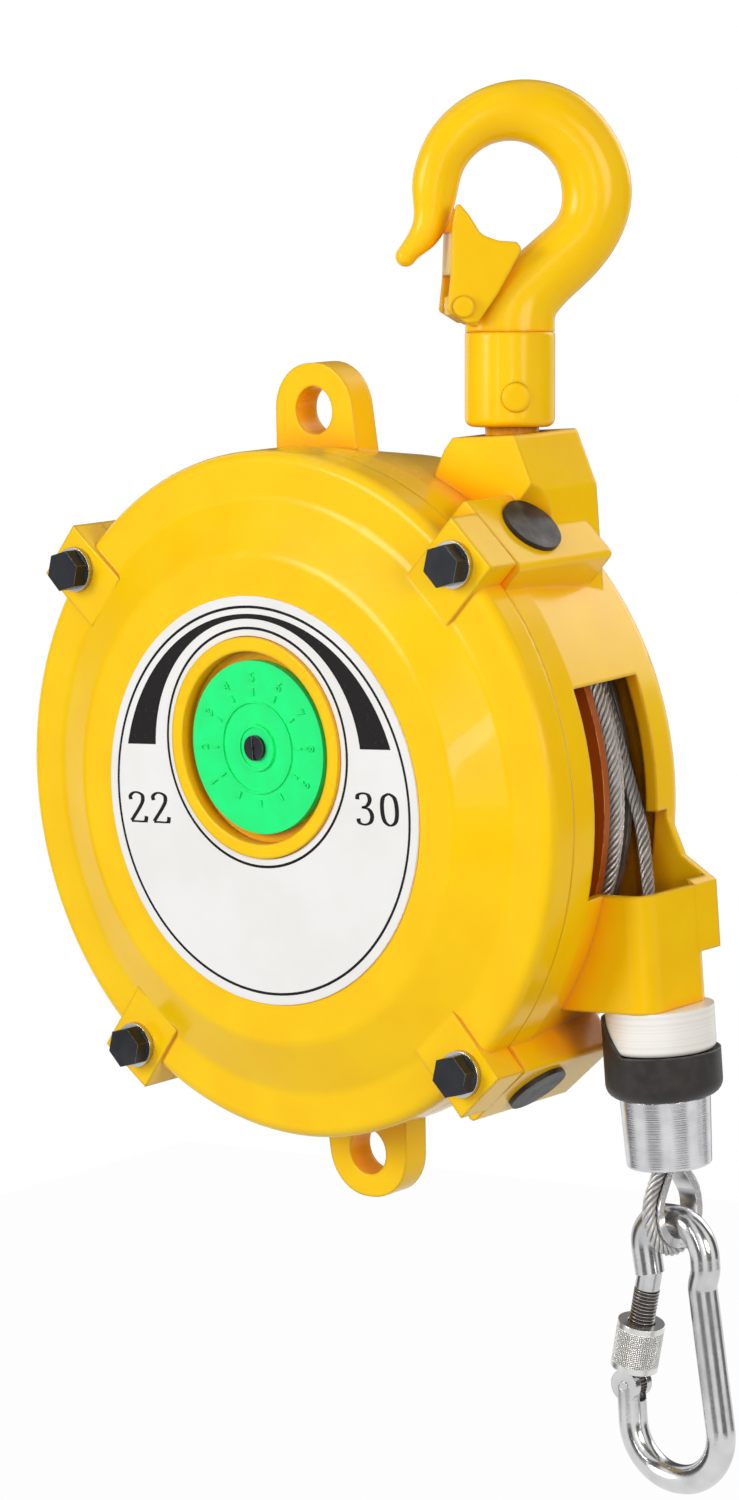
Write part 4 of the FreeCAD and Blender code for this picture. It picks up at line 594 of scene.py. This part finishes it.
# ---------------------------------------------------------------- screws, bolts and plain steelwork
# Oiled black bolts over bright zinc washers, and the plated and machined parts of the works. Zinc
# is cloudy and brighter on its edges, turned steel shows fine rings from the tool.


def metal(name, colour, cloud, roughness, worn, coarse=90, depth=0.00015, metallic=1.0, width=0.0003):
    """Plated, oiled or cast metal: clouded, rubbed bright on its edges and finely grained."""
    made, tree, shade = finish_of(name, colour, roughness, metallic=metallic, specular=0.4)
    grain = placed(tree, grain_group, Coarse=coarse, Fine=coarse * 14, Fine_share=0.35)
    wear = placed(tree, wear_group, Width=width, Patchiness=coarse * 3, Amount=0.8)
    clouded = mottled(tree, grain, colour, cloud)
    coloured(tree, shade, wear.outputs["Mask"], clouded, (*worn, 1))
    tree.links.new(fade(tree, grain.outputs["Height"], 0.3, 1.0, roughness * 0.75, roughness * 1.3),
                   shade.inputs["Roughness"])
    relief(tree, shade, grain.outputs["Height"], 0.3, depth, wear.outputs["Rounded"])
    return made


black_steel = metal("black oiled steel", (0.036, 0.037, 0.042), (0.020, 0.021, 0.025), 0.30,
                    (0.30, 0.31, 0.33), metallic=0.75)
bright_zinc = metal("bright zinc", (0.56, 0.56, 0.55), (0.44, 0.44, 0.44), 0.24, (0.80, 0.80, 0.79))
turned_steel = metal("turned steel", (0.46, 0.46, 0.47), (0.36, 0.36, 0.37), 0.22, (0.75, 0.75, 0.75),
                     coarse=160)
blued_steel = metal("blued spring strip", (0.10, 0.12, 0.17), (0.17, 0.15, 0.16), 0.3,
                    (0.45, 0.45, 0.47), coarse=60)
bearing_bronze = metal("bearing bronze", (0.52, 0.31, 0.12), (0.40, 0.23, 0.09), 0.3, (0.80, 0.55, 0.28))
dress(black_steel, "cover_bolts", "dial_screw")
dress(bright_zinc, "cover_washers", "rear_screws", "wheel_nut", "spring_cover", "spring_cover_screws",
      "stem_nut")
dress(turned_steel, "mandrel_shaft", "worm_shaft", "rope_anchor", "latch_spring")
dress(blued_steel, "power_spring")
dress(bearing_bronze, "cover_bush", "case_bush", "worm_wheel", "worm_bushes", "drum_bushes",
      "thrust_washer")

# ---------------------------------------------------------------- rope drum
# A drum as cast, with a sandy skin, and its front flange painted orange. The flange is coloured a dark
# red-brown as painted shade, with bright orange only on its knocked edges, a painted highlight that
# shows as a thin edge at the window.
drum_low, drum_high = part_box("rope_drum")
flange_back, paint_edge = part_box("rope_coil")[0].y - 0.0002, 0.0004
drum_skin, tree, shade = finish_of("drum casting", (0.5, 0.48, 0.45), 0.5, metallic=0.7)
grain = placed(tree, grain_group, Coarse=150, Fine=1800, Fine_share=0.8)
wear = placed(tree, wear_group, Width=0.0006, Patchiness=200, Amount=0.7)
depth_in = place_along(tree, "Y")
painted_part = fade(tree, depth_in, flange_back + paint_edge, flange_back)
sandy = mottled(tree, grain, (0.42, 0.40, 0.37), (0.30, 0.29, 0.27))
# The flange's dark red-brown is painted shade. On its worn edges the bright orange is a painted
# highlight, and the bare casting's worn edges show pale.
sandy_and_flange_shade = mixed(tree, painted_part, sandy, (0.40, 0.085, 0.005, 1))
worn_edge_and_flange_highlight = mixed(tree, painted_part, (0.66, 0.62, 0.55, 1), (0.98, 0.42, 0.04, 1))
coloured(tree, shade, wear.outputs["Mask"], sandy_and_flange_shade, worn_edge_and_flange_highlight)
tree.links.new(maths(tree, "MULTIPLY_ADD", painted_part, -0.7, 0.7), shade.inputs["Metallic"])
tree.links.new(maths(tree, "MULTIPLY_ADD", painted_part, -0.16, 0.5), shade.inputs["Roughness"])
relief(tree, shade, grain.outputs["Height"], 0.5, 0.0003, wear.outputs["Rounded"])
dress(drum_skin, "rope_drum")

# ---------------------------------------------------------------- wire rope
# Six-strand steel rope: wound on the drum's cone, led off its back edge down through the guide,
# run out below it and turned round the thimble into a pressed eye.
rope_radius, rope_lay, strand_count, wire_count = 0.00238, 0.0165, 6, 42
profile_points, valley_share = 42, 0.76
coil_turns, coil_pitch, coil_start, coil_fall, coil_radius = 2, 0.00565, 150, 10 / 17, 0.107
wrap_radius, wrap_from, leave_angle, lead_straight = 0.097, 60, 14.8, 0.0434
lead_bend, foot_bend, foot_above = 0.040, 0.024, 0.007
eye_radius, eye_round, eye_half, eye_bend, eye_lift = 0.0132, 0.01315, 0.0044, 0.008, 0.0182
neck_lift = 0.0035
drum_x, drum_z = (drum_low.x + drum_high.x) / 2, (drum_low.z + drum_high.z) / 2
run_low, run_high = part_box("rope_run")
loop_low, loop_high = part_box("rope_loop")
rope_x, rope_y = (run_low.x + run_high.x) / 2, (run_low.y + run_high.y) / 2

rope_group, taken = grower("laid rope", (("Radius", NUMBER), ("Lay", NUMBER), ("Strands", COUNT),
                                         ("Step", NUMBER), ("Material", MATERIAL)))
tree = rope_group
even = add(tree, "GeometryNodeResampleCurve", {"Curve": taken.outputs["Geometry"],
                                               "Length": taken.outputs["Step"]}, mode="LENGTH")
length_along = add(tree, "GeometryNodeSplineParameter").outputs["Length"]
reach = maths(tree, "DIVIDE", length_along, taken.outputs["Lay"])
twisted = add(tree, "GeometryNodeSetCurveTilt", {"Curve": even.outputs[0],
                                                 "Tilt": maths(tree, "MULTIPLY", reach, math.tau)})
marked = add(tree, "GeometryNodeStoreNamedAttribute", {
    "Geometry": twisted.outputs[0], "Name": "along", "Value": reach},
    data_type="FLOAT", domain="POINT")
ring = add(tree, "GeometryNodeCurvePrimitiveCircle", {"Resolution": profile_points, "Radius": 1.0},
           mode="RADIUS")
around = add(tree, "GeometryNodeSplineParameter").outputs["Factor"]
strand_place = maths(tree, "FRACT", maths(tree, "MULTIPLY", around, taken.outputs["Strands"]))
within = maths(tree, "SUBTRACT", strand_place, 0.5)
off_axis = maths(tree, "DIVIDE", maths(tree, "MULTIPLY", within, math.tau), taken.outputs["Strands"])
sideways = maths(tree, "MULTIPLY", 4 / 9, maths(tree, "POWER", maths(tree, "SINE", off_axis), 2.0))
bulge = maths(tree, "SQRT", maths(tree, "MAXIMUM", maths(tree, "SUBTRACT", 1 / 9, sideways), 0.0))
strand_top = maths(tree, "MULTIPLY_ADD", maths(tree, "COSINE", off_axis), 2 / 3, bulge)
lobe = maths(tree, "MAXIMUM", strand_top, valley_share)
circle_point = add(tree, "GeometryNodeInputPosition").outputs[0]
lobe_radius = maths(tree, "MULTIPLY", lobe, taken.outputs["Radius"])
lobed = add(tree, "ShaderNodeVectorMath", {0: circle_point, "Scale": lobe_radius},
            operation="SCALE").outputs["Vector"]
profile = add(tree, "GeometryNodeSetPosition", {"Geometry": ring.outputs[0], "Position": lobed})
profile = add(tree, "GeometryNodeStoreNamedAttribute", {
    "Geometry": profile.outputs[0], "Name": "around", "Value": around},
    data_type="FLOAT", domain="POINT")
laid = add(tree, "GeometryNodeCurveToMesh", {
    "Curve": marked.outputs[0], "Profile Curve": profile.outputs[0], "Fill Caps": True})
realised(tree, laid.outputs[0], taken.outputs["Material"])

rope_steel, tree, shade = finish_of("galvanised rope", (0.5, 0.5, 0.5), 0.32, metallic=0.9)
along = add(tree, "ShaderNodeAttribute", attribute_name="along").outputs["Fac"]
around = add(tree, "ShaderNodeAttribute", attribute_name="around").outputs["Fac"]
wire_place = maths(tree, "MULTIPLY", maths(tree, "ADD", along, around), wire_count * math.tau)
wires = maths(tree, "SINE", wire_place)
strand_place = maths(tree, "FRACT", maths(tree, "MULTIPLY", around, float(strand_count)))
in_strand = maths(tree, "ABSOLUTE", maths(tree, "SUBTRACT", strand_place, 0.5))
grain = placed(tree, grain_group, Coarse=260, Fine=3000, Fine_share=0.4)
galvanised = mottled(tree, grain, (0.78, 0.78, 0.77), (0.60, 0.60, 0.60))
# Painted shade: the colour darkens between the wires, and more deeply between the strands.
wire_gap_shade = mixed(tree, fade(tree, wires, -0.2, -0.95), galvanised, (0.30, 0.295, 0.29, 1))
coloured(tree, shade, fade(tree, in_strand, 0.34, 0.48), wire_gap_shade, (0.14, 0.135, 0.13, 1))
relief(tree, shade, wires, 0.5, 0.00012)


def bent(points, radii, step=0.0008):
    """Points along straight runs whose corners are rounded to the given radii."""
    line, start = [], points[0]
    corners = zip(points[1:-1], points[:-2], points[2:], radii)
    for corner, before, after, radius in corners:
        back, ahead = (before - corner).normalized(), (after - corner).normalized()
        half = back.angle(ahead) / 2
        centre = corner + (back + ahead).normalized() * radius / math.sin(half)
        near, far = corner + back * radius / math.tan(half), corner + ahead * radius / math.tan(half)
        line.append(start)
        turn_axis, sweep = (near - centre).cross(far - centre), math.pi - 2 * half
        count = max(2, int(radius * sweep / step))
        line += [centre + Matrix.Rotation(sweep * i / count, 3, turn_axis) @ (near - centre)
                 for i in range(count + 1)]
        start = far
    return line + [start, points[-1]]


def rope(name, line, replaced, step):
    route = bpy.data.curves.new(name, "CURVE")
    route.dimensions = "3D"
    spline = route.splines.new("POLY")
    spline.points.add(len(line) - 1)
    for point, place in zip(spline.points, line):
        point.co = (*place, 1)
    laid_mesh = grown(name, route, rope_group, {"Radius": rope_radius, "Lay": rope_lay,
                      "Strands": strand_count, "Step": step, "Material": rope_steel})
    for face in laid_mesh.polygons:
        face.use_smooth = True
    made = bpy.data.objects.new(name, laid_mesh)
    bpy.context.scene.collection.objects.link(made)
    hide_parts(replaced)
    return made


def about_drum(angle, radius, y):
    return Vector((drum_x + radius * math.cos(math.radians(angle)), y,
                   drum_z + radius * math.sin(math.radians(angle))))


coil_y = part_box("rope_coil")[0].y + rope_radius
coil_steps = 180 * coil_turns
coil_line = [about_drum(coil_start - 2 * i, coil_radius - coil_fall * coil_pitch * i / 180,
                        coil_y + coil_pitch * i / 180) for i in range(coil_steps + 1)]
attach(rope("wound_rope", coil_line, "rope_coil", 0.0011), "drum")
wrap_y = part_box("rope_lead")[1].y - rope_radius
wrap_line = [about_drum(wrap_from + (leave_angle - wrap_from) * i / 60, wrap_radius, wrap_y)
             for i in range(61)]
leave = math.radians(leave_angle)
leaving = wrap_line[-1] + Vector((math.sin(leave), 0, -math.cos(leave))) * lead_straight
lead_line = bent([wrap_line[-1], leaving, Vector((rope_x, rope_y, run_high.z + foot_above)),
                  Vector((rope_x, rope_y, run_high.z))], [lead_bend, foot_bend])
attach(rope("leading_rope", wrap_line[:-1] + lead_line, "rope_lead", 0.0009), "case")
eye_z = loop_low.z + rope_radius
neck_z = eye_z + eye_radius * 2 + neck_lift
eye_line = bent([Vector((rope_x, rope_y + y, z)) for y, z in (
    (-eye_half, loop_high.z), (-eye_half, neck_z), (-eye_radius, eye_z + eye_lift), (-eye_radius, eye_z),
    (eye_radius, eye_z), (eye_radius, eye_z + eye_lift), (eye_half, neck_z), (eye_half, loop_high.z))],
    [eye_bend, eye_round, eye_round, eye_round, eye_round, eye_bend])
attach(rope("eye_rope", eye_line, "rope_loop", 0.0007), "rope_end")
run_line = [Vector((rope_x, rope_y, run_high.z)), Vector((rope_x, rope_y, run_low.z))]
running_rope = rope("running_rope", run_line, "rope_run", 0.0003)
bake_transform(running_rope)

# ---------------------------------------------------------------- rope guide and bumper
# A cream nylon guide turned on a lathe stands under the spout. The black rubber bumper stops
# against it, its skirt cut off on a slant so that the guide shows above its lip.


def turning_marks(tree, rings, detail):
    """Fine uneven rings up the height of a piece turned on a lathe."""
    return add(tree, "ShaderNodeTexNoise", {
        "W": maths(tree, "MULTIPLY", place_along(tree, "Z"), rings), "Scale": 1.0, "Detail": detail},
        noise_dimensions="1D").outputs["Fac"]


nylon, tree, shade = finish_of("turned nylon", (0.86, 0.84, 0.80), 0.34, specular=0.35)
shade.inputs["Subsurface Weight"].default_value = 0.08
shade.inputs["Subsurface Radius"].default_value = (0.002, 0.0015, 0.001)
grain = placed(tree, grain_group, Coarse=60, Fine=900, Fine_share=0.2)
tool_rings = turning_marks(tree, 900.0, 3.0)
coloured(tree, shade, fade(tree, tool_rings, 0.4, 0.7), (0.90, 0.90, 0.88, 1), (0.84, 0.83, 0.81, 1))
relief(tree, shade, maths(tree, "MULTIPLY_ADD", grain.outputs["Height"], 0.3, tool_rings), 0.12, 0.0001)
dress(nylon, "rope_guide")

rubber, tree, shade = finish_of("black rubber", (0.020, 0.018, 0.018), 0.5, specular=0.4)
grain = placed(tree, grain_group, Coarse=190, Fine=1700, Fine_share=0.8)
wear = placed(tree, wear_group, Width=0.0006, Patchiness=260, Amount=0.5)
dust = placed(tree, dust_group, Amount=0.35, Grain=150)
clouded = mottled(tree, grain, (0.013, 0.011, 0.011), (0.026, 0.022, 0.021), 0.35)
scuffed = mixed(tree, wear.outputs["Mask"], clouded, (0.12, 0.10, 0.10, 1))
coloured(tree, shade, dust.outputs["Mask"], scuffed, (0.25, 0.22, 0.2, 1))
tree.links.new(fade(tree, grain.outputs["Height"], 0.4, 1.5, 0.36, 0.62), shade.inputs["Roughness"])
relief(tree, shade, grain.outputs["Height"], 0.35, 0.00025, wear.outputs["Rounded"])
dress(rubber, "bore_plugs", "gear_plug")

bumper_low, bumper_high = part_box("rope_bumper")
bumper_radius = (bumper_high.x - bumper_low.x) / 2
seat_z, bumper_round, bumper_steps = bumper_low.z + 0.0157, 0.005, 120
skirt_wall, skirt_slope_from, skirt_least = 0.0011, -0.0025, 0.0003
bore_radius, lip_chamfer_z, lip_chamfer_r = rope_radius + 0.0001, 0.0002, 0.0003


def skirt_edge(across):
    """How high the skirt stands above the seat at a place across the bumper."""
    return min(max(skirt_slope_from - across, skirt_least), bumper_high.z - seat_z)


bumper_mesh = bmesh.new()
bumper_rows = []
for i in range(bumper_steps):
    turn_about = math.tau * i / bumper_steps
    edge = seat_z + skirt_edge(math.cos(turn_about) * bumper_radius)
    outline = [(bore_radius, bumper_low.z)]
    outline += [(bumper_radius - bumper_round * (1 - math.sin(math.radians(a))),
                 bumper_low.z + bumper_round * (1 - math.cos(math.radians(a))))
                for a in range(0, 91, 15)]
    outline += [(bumper_radius, seat_z), (bumper_radius, edge - lip_chamfer_z),
                (bumper_radius - lip_chamfer_r, edge), (bumper_radius - skirt_wall, edge),
                (bumper_radius - skirt_wall, seat_z), (bore_radius, seat_z)]
    bumper_rows.append([bumper_mesh.verts.new((
        rope_x + r * math.cos(turn_about), rope_y + r * math.sin(turn_about), z))
        for r, z in outline])
for i, row in enumerate(bumper_rows):
    beside = bumper_rows[(i + 1) % len(bumper_rows)]
    for j in range(len(row)):
        k = (j + 1) % len(row)
        bumper_mesh.faces.new((row[j], row[k], beside[k], beside[j]))
bumper = piece("bumper", bumper_mesh, rubber, "rope_end", smooth=True)
bumper.data.set_sharp_from_angle(angle=math.radians(40))
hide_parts("rope_bumper")

# ---------------------------------------------------------------- sleeve, thimble and snap hook
# A turned aluminium sleeve over the pressed eye, a bright thimble, and a zinc plated snap hook
# whose gate is a threaded dark rod under a knurled locking sleeve.


def turned_metal(name, colour, dull, roughness, rings):
    """Metal turned on a lathe that stands upright: fine rings up its height."""
    made, tree, shade = finish_of(name, colour, roughness, metallic=1.0)
    grain = placed(tree, grain_group, Coarse=120, Fine=1500, Fine_share=0.3)
    wear = placed(tree, wear_group, Width=0.0004, Patchiness=260, Amount=0.7)
    lines = turning_marks(tree, rings, 4.0)
    clouded = mottled(tree, grain, colour, dull, 0.35, 0.65)
    coloured(tree, shade, wear.outputs["Mask"], clouded, (0.9, 0.9, 0.9, 1))
    tree.links.new(fade(tree, lines, 0.3, 0.7, roughness * 0.8, roughness * 1.25),
                   shade.inputs["Roughness"])
    relief(tree, shade, lines, 0.2, 0.00012, wear.outputs["Rounded"])
    return made


sleeve_alloy = turned_metal("turned aluminium", (0.68, 0.68, 0.70), (0.58, 0.58, 0.60), 0.17, 2600.0)
hook_zinc = metal("plated forging", (0.66, 0.66, 0.66), (0.52, 0.52, 0.53), 0.19, (0.85, 0.85, 0.84),
                  coarse=70, depth=0.0002)
thimble_steel = metal("bright thimble", (0.74, 0.74, 0.74), (0.62, 0.62, 0.62), 0.16, (0.9, 0.9, 0.9))
dress(sleeve_alloy, "rope_sleeve")
dress(thimble_steel, "thimble")
dress(hook_zinc, "snap_body", "gate_pin")

gate_lean = math.radians(15.5)
thread_pitch = 0.00125
knurl_count, knurl_pitch, knurl_full, knurl_end = 34, 0.0014, 0.0060, 0.0066


def about_gate(tree, node):
    """The place along the gate's axis and the angle round it."""
    low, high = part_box(node)
    centre = (low + high) / 2
    here = add(tree, "ShaderNodeTexCoord").outputs["Object"]
    upright_place = add(tree, "ShaderNodeVectorRotate", {
        "Vector": here, "Center": centre, "Axis": (0, 1, 0), "Angle": -gate_lean},
        rotation_type="AXIS_ANGLE").outputs[0]
    from_centre = add(tree, "ShaderNodeVectorMath", {0: upright_place, 1: centre},
                      operation="SUBTRACT").outputs[0]
    parts = add(tree, "ShaderNodeSeparateXYZ", {0: from_centre})
    return parts.outputs["Z"], maths(tree, "ARCTAN2", parts.outputs["Y"], parts.outputs["X"])


gate_steel, tree, shade = finish_of("threaded gate", (0.26, 0.25, 0.24), 0.3, metallic=0.9)
along, angle = about_gate(tree, "gate_bar")
crest = maths(tree, "SINE", maths(tree, "MULTIPLY_ADD", along, math.tau / thread_pitch, angle))
grain = placed(tree, grain_group, Coarse=300, Fine=2500, Fine_share=0.4)
rubbed = mixed(tree, fade(tree, crest, 0.2, 0.95), (0.10, 0.09, 0.085, 1), (0.50, 0.49, 0.48, 1))
coloured(tree, shade, fade(tree, grain.outputs["Mottle"], 0.4, 0.7, 0.0, 0.4), rubbed,
         (0.10, 0.085, 0.07, 1))
relief(tree, shade, crest, 0.9, 0.0004)
dress(gate_steel, "gate_bar")

knurled, tree, shade = finish_of("knurled sleeve", (0.50, 0.50, 0.50), 0.3, metallic=1.0)
along, angle = about_gate(tree, "lock_sleeve")
rounds = maths(tree, "MULTIPLY", angle, float(knurl_count))
climb = maths(tree, "MULTIPLY", along, math.tau / knurl_pitch)
diamond = maths(tree, "MULTIPLY", maths(tree, "SINE", maths(tree, "ADD", rounds, climb)),
                maths(tree, "SINE", maths(tree, "SUBTRACT", rounds, climb)))
middle_part = fade(tree, maths(tree, "ABSOLUTE", along), knurl_end, knurl_full)
pattern = maths(tree, "MULTIPLY", diamond, middle_part)
wear = placed(tree, wear_group, Width=0.0004, Patchiness=300, Amount=0.8)
# Painted shade darkens the knurl's valleys against its lighter ridges.
knurl_valley_shade = mixed(tree, fade(tree, pattern, 0.1, -0.6), (0.74, 0.74, 0.72, 1), (0.34, 0.34, 0.33, 1))
coloured(tree, shade, wear.outputs["Mask"], knurl_valley_shade, (0.85, 0.85, 0.85, 1))
relief(tree, shade, pattern, 0.7, 0.0004, wear.outputs["Rounded"])
dress(knurled, "lock_sleeve")
